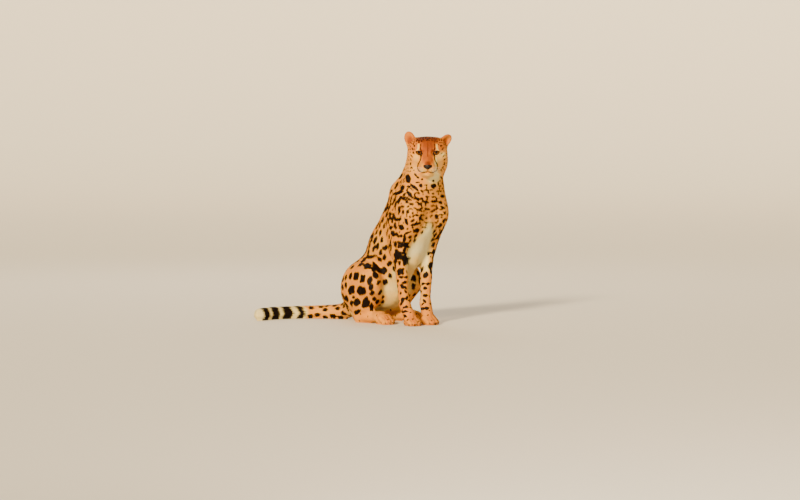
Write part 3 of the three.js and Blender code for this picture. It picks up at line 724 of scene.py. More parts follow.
def of_part(*beginnings):
    """1 on the parts whose names begin so, and 0 elsewhere."""
    return np.isin(part_at, [name for name in FLESH if name.startswith(beginnings)]).astype(float)


def blurred(values, rounds):
    return spread(values, SKIN_EDGES, rounds)


print("vertices by part:", {name: int((part_at == name).sum()) for name in FLESH})

# %% [markdown]
# The coat lies from the nose backwards over the head, down the neck and the chest, along the spine to the
# rump, down each leg, forwards over the feet, and out along the tail. Each part gets one direction, and the
# blurred field is laid flat on the surface.

# %% The lie of the coat
def tail_direction(name):
    """Along the tail, from this length of it to the next."""
    number = int(name[-1])
    low, high = (f"tail_{max(number - 1, 1)}", f"tail_{min(number + 1, 5)}")
    return centre_of(high) - centre_of(low)


def lie_of(name):
    side = 1 if name.endswith("left") else -1
    if name.startswith("tail"):
        return tail_direction(name)
    if name.startswith("ear"):
        return HEAD_AXES.T @ (0, side * 0.4, 1)
    lies = {
        "neck": (-0.25, 0, -1),
        "trunk": (-0.5, 0, -0.9),
        "forefoot": (0.8, 0, -0.6),
        "foreleg_lower": (0.05, 0, -1),
        "foreleg_upper": (-0.25, 0, -1),
        "hindfoot": (1, 0, -0.1),
        "shank": (-0.3, 0, -0.9),
        "thigh": (0.45, 0, -0.9),
    }
    return next((lie for start, lie in lies.items() if name.startswith(start)), (0, 0, -1))


directions = {name: unit(np.array(lie_of(name), float)) for name in FLESH}
lie = np.array([directions[name] for name in part_at])
from_nose = unit(IN_HEAD - (112, 0, -50)) @ HEAD_AXES
on_head = of_part("head")[:, None]
lie = lie * (1 - on_head) + from_nose * on_head
lie = blurred(lie, 24)
SKIN_NORMALS = normals_of(skin.data)
lie = unit(lie - SKIN_NORMALS * (lie * SKIN_NORMALS).sum(1)[:, None])
print("mean lie of the coat:", lie.mean(0).round(2))

# %% [markdown]
# The skin has to lie inside the solids by the depth of the coat, which then fills the outline again. On the
# face and the feet the hair is only a millimetre or two deep, and on the body and along the tail about four.
# The nose, the edges of the lids and the lips are bare.

# %% Bare skin
def nose_leather():
    """How far the skin lies inside the outline of the nose leather, seen from the front."""
    _, aside, up = MIRRORED.T
    top = -47 - 0.004 * aside ** 2 - up
    bottom = up + 68 - np.maximum(aside - 4, 0) * 0.72
    flank = 18.5 - aside
    return np.where(HX > 70, np.minimum(np.minimum(top, bottom), flank), -20)


def bare_skin():
    """1 where no hair grows: the nose leather, the lids' edges and the lips."""
    lips = 1.8 - to_line(MIRRORED[:, 1:], MOUTH_LINE)[0]
    eyes = np.maximum(*[1.4 - eye_window(IN_HEAD, side) for side in (1, -1)])
    return (HX > 40) * smoothstep(np.maximum(np.maximum(NOSE, lips), eyes), -0.8, 0.8)


NOSE = nose_leather()
BARE = bare_skin()
print("bare vertices:", int((BARE > 0).sum()))

# %% Sink the skin by the depth of the coat
DEPTHS = {"head": 1.6, "ear": 1.0, "forefoot": 1.4, "hindfoot": 1.6, "foreleg_lower": 2.2, "shank": 3.2,
          "neck": 3.6, "trunk": 4.0, "foreleg_upper": 3.2, "thigh": 3.8, "tail": 4.2}
BARE_DEPTH = 0.3
SOLE, SOLE_HEIGHT = 0.4 * MM, 4 * MM  # where the skin stands on the floor, and what counts as sole

depth = sum(of_part(start) * value for start, value in DEPTHS.items())
muzzle = smoothstep(HX, 40, 80) * on_head[:, 0]
depth = blurred(depth, 30) * (1 - 0.35 * muzzle)
depth = np.where(BARE > 0, depth * (1 - BARE) + BARE_DEPTH * BARE, depth)
even_normals = unit(blurred(SKIN_NORMALS, 3))
sunk = SKIN_POINTS - even_normals * depth[:, None] * MM
sunk[:, 2] = np.where(SKIN_POINTS[:, 2] < SOLE_HEIGHT, SOLE, np.maximum(sunk[:, 2], SOLE))
set_points(skin.data, sunk)
print("coat depth:", depth.min().round(2), "to", depth.max().round(2), "mm")

# %% [markdown]
# ## The markings
#
# A cheetah's spots could be a painted image. Instead each vertex stores one number, its distance in
# millimetres from the edge of the nearest black mark, negative inside it. The same number is handed to the
# coat later, so skin and hair always agree. The underside comes first, as it is pale and has few spots:
# its half width at each height is read off a few steps, on the body as it is without its turn.

# %% Where the underside is pale
SHOULDERS = 330  # millimetres along the body, where its turn is complete
BX, BY, BZ = straightened(POINTS_MM, SHOULDERS).T  # in the axes of the straight body
BESIDE = np.abs(BY)
inward = -SKIN_NORMALS[:, 1] * np.sign(BY)
frontward = SKIN_NORMALS @ unit(np.array([0.9, -0.08, -0.42]))

brisket_half = np.interp(BZ, (250, 335, 395, 455), (62, 60, 34, 4))
brisket = smoothstep(brisket_half - BESIDE, -12, 14) * smoothstep(-BZ, -470, -420)
brisket *= smoothstep(frontward, 0.2, 0.6)
belly_half = np.interp(BZ, (60, 150, 200, 330), (96, 92, 54, 50))
belly = smoothstep(-BZ, -330, -250) * smoothstep(belly_half - BESIDE, -10, 16)
belly *= smoothstep(frontward, -0.1, 0.35)
throat = smoothstep(BZ, 585, 620) * smoothstep(-BESIDE, -52, -20) * smoothstep(frontward, 0.2, 0.7)
inner_legs = of_part("foreleg_upper", "thigh", "shank") * smoothstep(inward, 0.25, 0.75)
inner_legs += 0.35 * of_part("foreleg_lower") * smoothstep(inward, 0.5, 0.95)
pale = np.maximum(of_part("trunk", "thigh", "foreleg_upper") * np.maximum(brisket, belly), inner_legs)
pale = np.maximum(pale, of_part("neck", "head") * throat * 0.8)
pale = blurred(pale, 10)
print("pale share of the skin:", (pale > 0.5).mean().round(3))

# %% [markdown]
# A spot is an ellipse with a slightly wavy edge. Where two come close their distances are melted together,
# which gives the joined and bent marks of the chest and the shoulder.

# %% Grow one spot
UNMARKED = 40.0  # millimetres, far from any mark
spot = np.full(len(X), UNMARKED)
skin_tree = KDTree(len(POINTS_MM))
for i, point in enumerate(POINTS_MM):
    skin_tree.insert(point, i)
skin_tree.balance()


def mark_at(near, distance, melt):
    gap = np.maximum(melt - np.abs(spot[near] - distance), 0) / melt
    spot[near] = np.minimum(spot[near], distance) - gap * gap * melt / 4


def grow_spot(centre, along, facing, half_length, half_width, wobble, melt=3.0):
    """Marks the vertices round a centre with their distance from the edge of a wavy ellipse."""
    near = np.array([hit[1] for hit in skin_tree.find_range(centre, 2.4 * half_length + 10)], int)
    near = near[SKIN_NORMALS[near] @ facing > 0.1]
    offset = POINTS_MM[near] - centre
    u = offset @ along / half_length
    v = offset @ np.cross(facing, along) / half_width
    angle = np.arctan2(v, u)
    waves = np.arange(2, 6)[:, None]
    sizes = RANDOM.normal(0, wobble / 2, (4, 1))
    edge = 1 + (sizes * np.cos(waves * angle + RANDOM.uniform(0, 2 * math.pi, (4, 1)))).sum(0)
    mark_at(near, (np.hypot(u, v) / edge - 1) * math.sqrt(half_length * half_width), melt)


print("vertices to mark:", len(spot))

# %% [markdown]
# No two cheetahs have the same spots. This one has a few large ragged blotches at the elbow, a dark band
# along the front edge of the thigh, and streaks that hang round the neck like strings of beads. The marks
# that make it this animal are listed as the viewer sees them: how far across and up, half the length and
# width in millimetres, and the slant in degrees. A ray from the camera finds the skin for each.

# %% The marks that the viewer sees
SEEN_MARKS = {
    "neck": [
        (206, 621, 17, 10, 100), (181, 583, 10, 8, 60), (234, 584, 22, 5, -42), (213, 554, 22, 6, -50),
        (161, 561, 22, 6, 15), (155, 593, 17, 4, 65), (174, 632, 13, 4, 55), (181, 537, 14, 5, -40),
        (318, 589, 12, 8, 10), (262, 591, 8, 6, 0), (245, 604, 9, 3, 5), (267, 618, 4, 3.5, 0),
        (249, 626, 5, 3.5, -30), (239, 637, 9, 3, -45), (316, 611, 4.5, 4, 0), (316, 555, 6, 3.5, 0),
    ],
    "chest": [
        (200, 522, 9, 5, -40), (221, 512, 9, 5, -15), (247, 535, 13, 6, -15), (267, 535, 6, 5, 0),
        (284, 520, 14, 5, -10), (322, 522, 14, 5, 3), (348, 518, 8, 6, 0), (357, 546, 9, 6, 0),
        (260, 512, 10, 4, 30), (258, 489, 17, 3.5, 20), (292, 489, 12, 4, -8), (320, 484, 20, 3.5, 30),
        (357, 497, 12, 4, -25), (271, 464, 8, 3.5, -5), (288, 450, 5, 4, 0), (331, 450, 6, 4.5, 0),
    ],
    "shoulder": [
        (204, 479, 7, 6, 90), (183, 477, 9, 4.5, 90), (166, 486, 16, 5, 92), (181, 501, 7, 5, 0),
        (144, 458, 14, 5.5, -65), (161, 445, 14, 5.5, 5), (198, 436, 14, 6, -72), (226, 439, 10, 5, 25),
        (241, 424, 22, 5, 15), (243, 396, 13, 8, 15), (176, 411, 14, 8, -45), (140, 385, 14, 7, -60),
        (159, 378, 12, 5, -60), (176, 374, 6, 6, 0), (204, 386, 13, 4.5, 20), (191, 363, 17, 6, 86),
        (215, 368, 8, 5, 20), (214, 456, 6, 4, 90), (226, 473, 5, 4, 0), (205, 501, 5, 4, 0),
    ],
    "elbow": [
        (187, 335, 25, 11, -8), (176, 284, 34, 14, -25), (196, 262, 14, 12, 90), (157, 307, 11, 7, -45),
        (146, 232, 12, 6, -70), (174, 221, 16, 13, 30), (181, 157, 10, 7, -50), (197, 135, 8, 4, -50),
    ],
    "forelegs": [
        (183, 99, 10, 8, 60), (196, 69, 11, 5, 10), (191, 49, 14, 4, 10), (189, 30, 12, 4.5, 0),
        (197, 152, 8, 4, -60), (202, 108, 8, 5, 70), (176, 82, 7, 4, 60), (174, 128, 6, 4, 80),
        (282, 206, 13, 10, 50), (280, 150, 9, 6, 10), (277, 95, 9, 5, -45), (268, 62, 9, 5, 10),
        (286, 64, 9, 7, 20),
    ],
    "thigh": [
        (77, 236, 34, 8, -50), (101, 226, 13, 13, 0), (30, 247, 16, 12, 0), (58, 234, 12, 9, -40),
        (9, 191, 17, 10, 72), (41, 183, 18, 10, 70), (-19, 202, 17, 11, 75), (82, 174, 11, 7, 60),
        (4, 138, 19, 18, 0), (47, 153, 14, 9, 65), (52, 127, 12, 8, 40), (24, 86, 22, 15, 75),
        (-15, 88, 15, 14, 0), (-39, 142, 19, 13, 80), (-39, 84, 12, 6, 90), (-30, 110, 7, 5, 0),
        (50, 67, 14, 9, 80), (-13, 47, 15, 8, 30), (43, 285, 26, 6, 5), (82, 273, 10, 7, -45),
        (103, 282, 12, 7, 80),
    ],
}
LARGE = 13  # half the length of a blotch, in millimetres
RAGGED, WAVY = 0.3, 0.14  # how far an edge wobbles, on a blotch and on other marks
FULLNESS, WIDER = 1.12, 0.6  # each mark is this many times as large, and this many millimetres more
TO_CAMERA = np.array(to_camera)


def ray_tree(points):
    """A tree of the skin's faces, to find what a ray meets or what lies nearest."""
    return BVHTree.FromPolygons([tuple(point) for point in points],
                                [tuple(face.vertices) for face in skin.data.polygons])


seen_skin = ray_tree(SKIN_POINTS)


def seen_at(across, up):
    """The point of the skin that the viewer sees this far across and up, in millimetres."""
    place = aim + view_right * (across * MM - AIM_ACROSS) + view_up * (up * MM - AIM_UP)
    return np.array(seen_skin.ray_cast(camera.location, (place - camera.location).normalized())[0]) / MM


for region, marks in SEEN_MARKS.items():
    for across, up, half_length, half_width, slant in marks:
        turn = math.radians(slant)
        along = np.array(view_right * math.cos(turn) + view_up * math.sin(turn))
        wobble = RAGGED if region == "elbow" and half_length > LARGE else WAVY
        size = FULLNESS * np.array((half_length, half_width)) + WIDER
        grow_spot(seen_at(across, up), along, TO_CAMERA, *size, wobble, melt=2.5)
print("black share of the marks laid by hand:", (spot < 0).mean().round(3))

# %% [markdown]
# The other spots are sown like seeds: vertices are tried in random order, and one is kept if no seed near it
# has been kept already, and no listed mark. Each part of the body has its own spacing and its own
# length and width of spot: solid and round on the haunch, long on the spine, narrow on the flank.

# %% Plan the spots
SPOTS = {  # spacing, half length, half width, wobble
    "head": (13.5, 4.4, 3.1, 0.2),
    "neck": (25, 14, 7.5, 0.2),
    "trunk": (26, 15, 9.8, 0.17),
    "foreleg_upper": (23, 13, 9, 0.22),
    "foreleg_lower": (23, 10.5, 9, 0.16),
    "forefoot": (24, 5, 4, 0.12),
    "thigh": (32, 17, 13.5, 0.14),
    "shank": (26, 12, 9.5, 0.14),
    "hindfoot": (32, 6, 4, 0.12),
    "tail": (29, 15, 11.5, 0.14),
}
plan = np.zeros((len(X), 4))
for start, values in SPOTS.items():
    plan += of_part(start)[:, None] * values
backward = SKIN_NORMALS @ unit(np.array([-0.85, 0, 0.5]))
on_trunk = of_part("trunk")
spine = on_trunk * smoothstep(backward, 0.25, 0.75)
flank = on_trunk * smoothstep(-np.abs(backward + 0.05), -0.55, -0.2) * smoothstep(-BZ, -520, -430)
chest = of_part("trunk", "neck") * smoothstep(SKIN_NORMALS[:, 0], -0.1, 0.4) * smoothstep(BZ, 380, 440)
crown_top = of_part("head") * smoothstep(HZ, 26, 40)
REGIONS = [
    (spine, (36, 22, 14, 0.13)),
    (flank, (28, 16, 10, 0.14)),
    (chest, (20, 10, 5, 0.28)),
    (crown_top, (9, 4.8, 3.6, 0.25)),
]
for where, values in REGIONS:
    plan += where[:, None] * (np.array(values) - plan)
SPACING, HALF_LENGTH, HALF_WIDTH, WOBBLE = blurred(plan, 8).T
print("spacing of the spots:", SPACING.min().round(1), "to", SPACING.max().round(1), "mm")


# %% Sow the spots
def sown(allowed, spacing, tries=26000):
    """Vertices spread out by their spacing, in the order in which they were kept."""
    kept = []
    places = np.empty((0, 3))
    gaps = np.empty(0)
    for i in RANDOM.permutation(np.flatnonzero(allowed))[:tries]:
        if len(kept) and (length(places - POINTS_MM[i]) < 0.5 * (gaps + spacing[i])).any():
            continue
        kept.append(i)
        places = np.vstack([places, POINTS_MM[i]])
        gaps = np.append(gaps, spacing[i])
    return kept


hairline = (HX + 0.4 * HZ < 52) & (HZ > -6) | (HX < 40) & (HZ > -80)
spotted = (pale < 0.62) & (part_at != "tail_5") & (of_part("ear") == 0) & ((of_part("head") == 0) | hairline)
free = spot > 0.45 * (HALF_LENGTH + HALF_WIDTH) + 3
seeds = sown(spotted & free & (Z > 4), SPACING)
print("spots sown:", len(seeds))

# %% [markdown]
# Along the body a spot lies with the coat. Round the chest and the neck it lies across it, and down the
# forelegs and on the feet too, where the spots close into bars. Some get a smaller neighbour that joins them
# into a bent mark. Last, small spots fill the gaps of the neck, the shoulder and the chest.

# %% Grow the spots
JOINED_SHARE = {"trunk": 0.14, "neck": 0.25, "foreleg_upper": 0.3, "thigh": 0.1}
BARRED = ("foreleg_lower", "forefoot", "hindfoot")
for i in seeds:
    normal = SKIN_NORMALS[i]
    along = lie[i]
    across = np.cross(normal, along)
    swing = RANDOM.normal(0, 0.3)
    along = unit(along * math.cos(swing) + across * math.sin(swing))
    size = RANDOM.uniform(0.82, 1.14) * (1 - 0.45 * pale[i])
    long, wide = HALF_LENGTH[i] * size, HALF_WIDTH[i] * size
    if part_at[i].startswith(BARRED) or chest[i] > 0.5:
        along, across = across, -along
        long *= 1.2
        wide *= 0.76
    grow_spot(POINTS_MM[i], along, normal, long, wide, WOBBLE[i])
    joins = next((share for start, share in JOINED_SHARE.items() if part_at[i].startswith(start)), 0)
    if RANDOM.random() < joins:
        towards = unit(along * RANDOM.uniform(0.5, 1) + across * RANDOM.uniform(-1, 1))
        centre = POINTS_MM[i] + towards * (long + wide) * 0.62
        grow_spot(centre, np.cross(normal, towards), normal, wide * 0.9, wide * 0.55, WOBBLE[i])
print("black share:", (spot < 0).mean().round(3))

# %% Fill the gaps
GAP, GAP_SPACING = 8.5, 22.0  # millimetres
ahead = (of_part("neck") > 0) | (of_part("trunk", "foreleg_upper") > 0) & (BX > 300) & (BZ > 180)
for i in sown(ahead & (pale < 0.4) & (spot > GAP), np.full(len(X), GAP_SPACING)):
    long = RANDOM.uniform(4.5, 7)
    along = unit(lie[i] + RANDOM.normal(0, 0.5, 3))
    grow_spot(POINTS_MM[i], along, SKIN_NORMALS[i], long, long * 0.62, 0.16, melt=1.5)
print("black share with the gaps filled:", (spot < 0).mean().round(3))

# %% [markdown]
# The far elbow gets blotches like those of the near one. The last stretch of the tail is ringed: pale hair
# with broad black bands, which waver a little as they go round, and a white tip.

# %% Blotches and rings
def blotch(place, half_length, half_width, turn):
    """A large ragged mark on the vertex nearest to a place, turned from the vertical."""
    i = skin_tree.find(place)[1]
    normal = SKIN_NORMALS[i]
    level = unit(np.cross((0, 0, 1.0), normal))
    upright = np.cross(normal, level)
    along = upright * math.cos(turn) + level * math.sin(turn)
    grow_spot(POINTS_MM[i], along, normal, half_length, half_width, RAGGED, melt=9)


low, high = (np.array(corner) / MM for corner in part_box("foreleg_upper_left"))
elbow = np.array([(low[0] + high[0]) / 2, high[1], low[2]])
blotch(elbow + (22, 0, 92), 27, 12, 1.2)
blotch(elbow + (26, 0, 48), 30, 15, 1.0)
blotch(elbow + (40, 0, 12), 16, 11, -0.7)

TAIL_BANDS = [(36, 76), (96, 138), (158, 200), (220, 242)]  # black, in millimetres from the tip
TAIL_END = 252
tail_tip = POINTS_MM[of_part("tail_5") > 0][:, 1].min()
from_tip = Y - tail_tip
on_tail_end = (of_part("tail") > 0) & (from_tip < TAIL_END) & (X < -200)
spot[on_tail_end] = UNMARKED
wavy = from_tip + 2.6 * np.sin(X / 9) + 1.8 * np.sin(Z / 6 + 1)
for start, end in TAIL_BANDS:
    band = np.abs(wavy - (start + end) / 2) - (end - start) / 2
    mark_at(np.flatnonzero(on_tail_end), band[on_tail_end], 2)
print("black share with blotches and rings:", (spot < 0).mean().round(3))

# %% [markdown]
# The face has its own marks: a black line like the track of a tear, from the inner corner of each eye round
# the muzzle to the corner of the mouth, black rims round the eyes, black lips and nose, dark streaks that
# rise from the inner corners of the eyes into the spots of the crown, rows of small dots where the whiskers
# stand, and black backs to the ears. Each line is given in the head's axes and drawn onto the skin.

# %% Drawing on the face
FRONT = 200  # millimetres ahead of the head, from where a mark is dropped
face_tree = ray_tree(IN_HEAD)


def dropped(aside, up):
    """The point of the skin that is seen at this place from straight ahead."""
    return np.array(face_tree.ray_cast(Vector((FRONT, aside, up)), Vector((-1, 0, 0)))[0])


def finer(corners, steps=5):
    """A line with more corners."""
    corners = np.array(corners, float)
    at = np.linspace(0, len(corners) - 1, (len(corners) - 1) * steps + 1)
    return np.array([np.interp(at, np.arange(len(corners)), column) for column in corners.T]).T


def on_skin(corners):
    """A line with more corners, each moved to the nearest point of the skin."""
    return np.array([face_tree.find_nearest(Vector(corner))[0] for corner in finer(corners)])


print("the skin between the eyes lies", round(dropped(0, 0)[0], 1), "mm ahead")

# %% Tear tracks, eye rims and whisker dots
TEAR_TRACK = [(27, -5), (28, -12), (29, -20), (31, -29), (35.5, -39), (41, -50), (43, -60), (41, -69),
              (36, -77)]  # aside and up
BROW_STREAK = [(60, 27, 2), (58, 28, 12), (56, 29, 24), (48, 30, 38)]
LINE_MELT = 1.5  # millimetres over which lines flow together

facing = np.flatnonzero(on_head[:, 0] > 0)
away, along = to_line(MIRRORED[facing], on_skin(BROW_STREAK))
mark_at(facing, away - 1.0 - 1.2 * np.sin(along * 15 + 1), LINE_MELT)


def whisker_place(row, dot):
    """How much farther aside than the first of the top row a whisker stands, and how high."""
    return 4.2 * dot + 1.2 * row, -62 - 4.4 * row


for side in (1, -1):
    track = [dropped(side * aside, up) for aside, up in finer(TEAR_TRACK)]
    away, along = to_line(IN_HEAD[facing], track)
    mark_at(facing, away - 3.2 + 0.8 * along - 0.4 * np.sin(along * 23 + side), LINE_MELT)
    rim = eye_window(IN_HEAD[facing], side)
    inner = smoothstep(side * (EYE[1] * side - HY[facing]), 2, 14)
    mark_at(facing, np.where(HX[facing] > 38, rim - 3.4 - 2.0 * inner, 12), LINE_MELT)
    for row, count in enumerate((5, 5, 4, 3)):
        for dot in range(count):
            aside, up = whisker_place(row, dot)
            away = length(IN_HEAD[facing] - dropped(side * (12 + aside), up + 0.5 * dot))
            mark_at(facing, away - 0.9, 0.5)
print("black share of the face:", (spot[facing] < 0).mean().round(3))

# %% Nose, lips and cheeks
NOSE_FRONT = 48  # millimetres ahead, where the black of nose and lips may start
lips = to_line(MIRRORED[:, 1:], MOUTH_LINE)[0] - 2.3
lips = np.minimum(lips, to_line(MIRRORED[:, 1:], GROOVE)[0] - 1.3)
front = (HX > NOSE_FRONT) & (on_head[:, 0] > 0)
spot = np.where(front, np.minimum(spot, np.minimum(-NOSE, lips)), spot)

CHEEK_MARKS = [  # aside, up, half length, half width, slant
    (68, -14, 8, 2.6, 50), (71, -30, 6, 2.6, 80), (72, -48, 7, 2.8, 100), (66, -64, 6, 2.5, 70),
    (58, -74, 4, 2.4, 60), (60, -3, 5, 2.2, 20), (64, 14, 5, 2.6, 60), (56, 28, 5, 2.8, 100),
]
for aside, up, half_length, half_width, slant in CHEEK_MARKS:
    for side in (1, -1):
        place = from_head(dropped(side * aside, up)) / MM
        turn = math.radians(slant)
        along = math.cos(turn) * side * HEAD_AXES[1] + math.sin(turn) * HEAD_AXES[2]
        grow_spot(place, along, HEAD_AXES[0], half_length, half_width, 0.2)
print("black share with nose, lips and cheeks:", (spot[facing] < 0).mean().round(3))

# %% Black backs of the ears
on_ears = of_part("ear")


def in_ear(side):
    """The skin in the axes of an ear: ahead through its opening, aside and up."""
    return (IN_HEAD - np.array(EAR_SHAPES[side]["centre"])) @ ear_axes(side)


for side in EAR_SHAPES:
    ahead, aside, up = in_ear(side).T
    opening = SKIN_NORMALS @ (HEAD_AXES.T @ ear_axes(side)[:, 0])
    back = np.maximum(ahead - 1.5, 8 * opening)
    tip = up - 24 + 2 * np.sin(aside / 3)
    mine = (on_ears > 0) & (HY * side > 0)
    spot = np.where(mine, np.maximum(np.maximum(back, tip), -20 - up), spot)
    in_cup = (length(in_ear(side) / (20, 25, 36)) < 1) & (ahead > -0.5)
    spot[in_cup] = UNMARKED
print("black share of the ears:", (spot[on_ears > 0] < 0).mean().round(3))

# %% [markdown]
# The ground colour runs from cream on the belly, through pale gold on the chin and the whisker pads and
# golden tan on the body, to rust on the forehead and the bridge of the nose. It is stored as one number, the
# tone: 0 is cream, 0.5 tan, 0.9 rust and 1 a dark brown.

# %% The tone of each part
TONES = {"head": 0.5, "ear": 0.62, "neck": 0.48, "trunk": 0.48, "foreleg_upper": 0.5, "foreleg_lower": 0.54,
         "forefoot": 0.6, "thigh": 0.5, "shank": 0.5, "hindfoot": 0.5, "tail": 0.48}
tone = sum(of_part(start) * value for start, value in TONES.items())
tone = blurred(tone, 12)
tone += 0.06 * spine - 0.03 * flank
tone -= pale * (tone - 0.04 - 0.14 * belly)


def draw_to(value, share):
    """Moves the tone towards a value by a share that differs from vertex to vertex."""
    tone[:] += np.clip(share, 0, 1) * (value - tone)


print("tone of the body, from", tone.min().round(2), "to", tone.max().round(2))


# %% Patches and streaks of the face
def patch(centre, radii, value):
    """Draws the tone towards a value inside an egg in the head's axes, mirrored to both sides."""
    offset = (MIRRORED - centre) / radii
    draw_to(value, on_head[:, 0] * smoothstep(-length(offset), -1.2, -0.6))


def streak(corners, half_width, value):
    """Draws the tone towards a value along a line on the face, mirrored to both sides."""
    away, _ = to_line(MIRRORED, on_skin(corners))
    draw_to(value, on_head[:, 0] * smoothstep(-away, -1.6 * half_width, -0.5 * half_width))


PATCHES = [  # centre, radii, tone
    ((20, 60, -50), (60, 34, 44), 0.47),  # cheek
    ((30, 40, 30), (60, 50, 36), 0.7),  # temple
    ((58, 0, 16), (52, 31, 46), 0.88),  # forehead
    ((30, 0, 66), (60, 62, 34), 0.93),  # crown
    ((84, 0, -24), (40, 30, 38), 0.82),  # bridge of the nose
    ((100, 0, -46), (24, 16, 15), 0.95),  # above the nose
    ((54, 48, -22), (30, 14, 19), 0.33),  # under the eye
    ((58, 55, -60), (34, 13, 26), 0.4),  # outside of the tear track
    ((92, 20, -72), (34, 20, 12), 0.3),  # whisker pad
    ((84, 0, -96), (40, 34, 14), 0.3),  # chin
]
OVER_EYE = [(60, 45, 10), (58, 41, 16), (54, 39, 26), (46, 40, 36)]
MIDLINE = [(78, 0, -20), (66, 0, 0), (62, 0, 16), (54, 0, 32), (40, 0, 50)]

for centre, radii, value in PATCHES:
    patch(centre, radii, value)
streak(OVER_EYE, 4.6, 0.2)
streak(BROW_STREAK, 3.0, 0.97)
streak(MIDLINE, 2.0, 0.96)
print("tone of the head, from", tone[facing].min().round(2), "to", tone[facing].max().round(2))

# %% Ears, toes and tail tip
TAIL_PALE, TIP_WHITE = 0.12, 0.07  # tones
TIP_LENGTH = 40  # millimetres
TOE_GAPS = (-16, 0, 16)  # millimetres from the middle of a paw

for side in EAR_SHAPES:
    on_side = HY * side > 0
    rim = length(in_ear(side) / EAR_RADII)
    draw_to(0.8, on_ears * on_side * smoothstep(rim, 0.9, 1.04))
    # Painted shade: the hollow of each ear's cup is drawn to a darker tone, where shade falls inside it.
    cup = length((in_ear(side) - (4, 0, -10)) / (16, 17, 27))
    draw_to(0.86, on_side * smoothstep(-cup, -1.1, -0.5))
# Painted shade: along the gaps between the toes the tone is drawn to a dark brown, where shade falls in the
# creases.
for kind, (x, y) in PAWS.items():
    ahead, aside, _ = straightened(POINTS_MM, x).T
    gap = np.min([np.abs(np.abs(aside) - y - middle) for middle in TOE_GAPS], axis=0)
    draw_to(0.8, of_part(kind) * smoothstep(-gap, -5.0, -0.5) * smoothstep(ahead, x + 8, x + 30))
tone = np.where(on_tail_end, np.where(from_tip < TIP_LENGTH, TIP_WHITE, TAIL_PALE), tone)
tone = np.clip(blurred(tone, 2), 0, 1)
print("tone of the skin, from", tone.min().round(2), "to", tone.max().round(2))

# %% Keep the numbers in the skin
ON_SKIN = {"spot": spot, "tone": tone, "bare": BARE * on_head[:, 0], "lie": lie,
           "depth": depth, "even": even_normals}
for name, values in ON_SKIN.items():
    store(skin.data, name, values)
print("kept with the skin:", list(ON_SKIN))

# %% [markdown]
# ## The finish of skin and hair
#
# Both get their colour in the same way, so that they match. A material reads the numbers as attributes: the
# tone picks the ground colour from a ramp, and the distance to the spots turns it to a brown black over a
# millimetre or two. Such a material is a small network, and a short class keeps the building of it readable.

# %% Joining nodes
class Nodes:
    """A new material, and a short way to add nodes to it and join them."""

    def __init__(self, name):
        self.material = bpy.data.materials.new(name)
        self.material.use_nodes = True
        self.tree = self.material.node_tree
        self.shader = self.tree.nodes["Principled BSDF"]

    def add(self, kind, settings=None, **inputs):
        """Adds a node. An input is named by its label, or by i and its number."""
        node = self.tree.nodes.new(kind)
        for key, value in (settings or {}).items():
            setattr(node, key, value)
        for key, value in inputs.items():
            socket = int(key[1:]) if key[1:].isdigit() else key.replace("_", " ")
            self.plug(node.inputs[socket], value)
        return node

    def finish(self, **inputs):
        """Sets or joins inputs of the shader, and gives the material back."""
        for key, value in inputs.items():
            self.plug(self.shader.inputs[key.replace("_", " ")], value)
        return self.material

    def plug(self, socket, value):
        if isinstance(value, bpy.types.NodeSocket):
            self.tree.links.new(value, socket)
        else:
            socket.default_value = value

    def number(self, name):
        return self.add("ShaderNodeAttribute", {"attribute_name": name}).outputs["Fac"]

    def vector(self, name):
        return self.add("ShaderNodeAttribute", {"attribute_name": name}).outputs["Vector"]

    def math(self, operation, a, b=0.0):
        return self.add("ShaderNodeMath", {"operation": operation}, i0=a, i1=b).outputs[0]

    def ramp(self, value, stops):
        node = self.add("ShaderNodeValToRGB", i0=value)
        elements = node.color_ramp.elements
        while len(elements) < len(stops):
            elements.new(0.5)
        for element, (position, colour) in zip(elements, sorted(stops.items())):
            element.position = position
            element.color = (*colour, 1)
        return node.outputs["Color"]

    def mix(self, share, a, b, blend="MIX"):
        settings = {"data_type": "RGBA", "blend_type": blend}
        return self.add("ShaderNodeMix", settings, i0=share, i6=a, i7=b).outputs[2]

    def within(self, value, low, high):
        """0 below low, 1 above high, and smooth between."""
        settings = {"interpolation_type": "SMOOTHSTEP"}
        node = self.add("ShaderNodeMapRange", settings, Value=value, From_Min=low, From_Max=high)
        return node.outputs["Result"]

    def noise(self, scale, detail=2.0, stretch=(1, 1, 1)):
        place = self.add("ShaderNodeTexCoord").outputs["Object"]
        place = self.add("ShaderNodeMapping", Vector=place, Scale=stretch).outputs["Vector"]
        return self.add("ShaderNodeTexNoise", Vector=place, Scale=scale, Detail=detail).outputs["Fac"]

    def bump(self, height, strength, distance):
        settings = {"Strength": strength, "Distance": distance, "Height": height}
        return self.add("ShaderNodeBump", **settings).outputs["Normal"]


WHITE = (1, 1, 1, 1)

# %% [markdown]
# Short hair that lies flat is mostly bump: three streaky noises, each stretched along one axis, are mixed by
# how far the coat lies along that axis. The bare skin of nose and lips is smoother, with a fine grain.

# %% The finish of the skin
BLACK_HAIR = (0.009, 0.004, 0.0025, 1)
GROUND = {
    0.0: (0.99, 0.92, 0.56),
    0.13: (0.97, 0.79, 0.34),
    0.25: (0.93, 0.59, 0.15),
    0.5: (0.89, 0.355, 0.036),
    0.72: (0.64, 0.18, 0.016),
    0.88: (0.34, 0.07, 0.008),
    1.0: (0.08, 0.015, 0.004),
}
SHADED = (0.55, 0.5, 0.46, 1)  # between two hairs


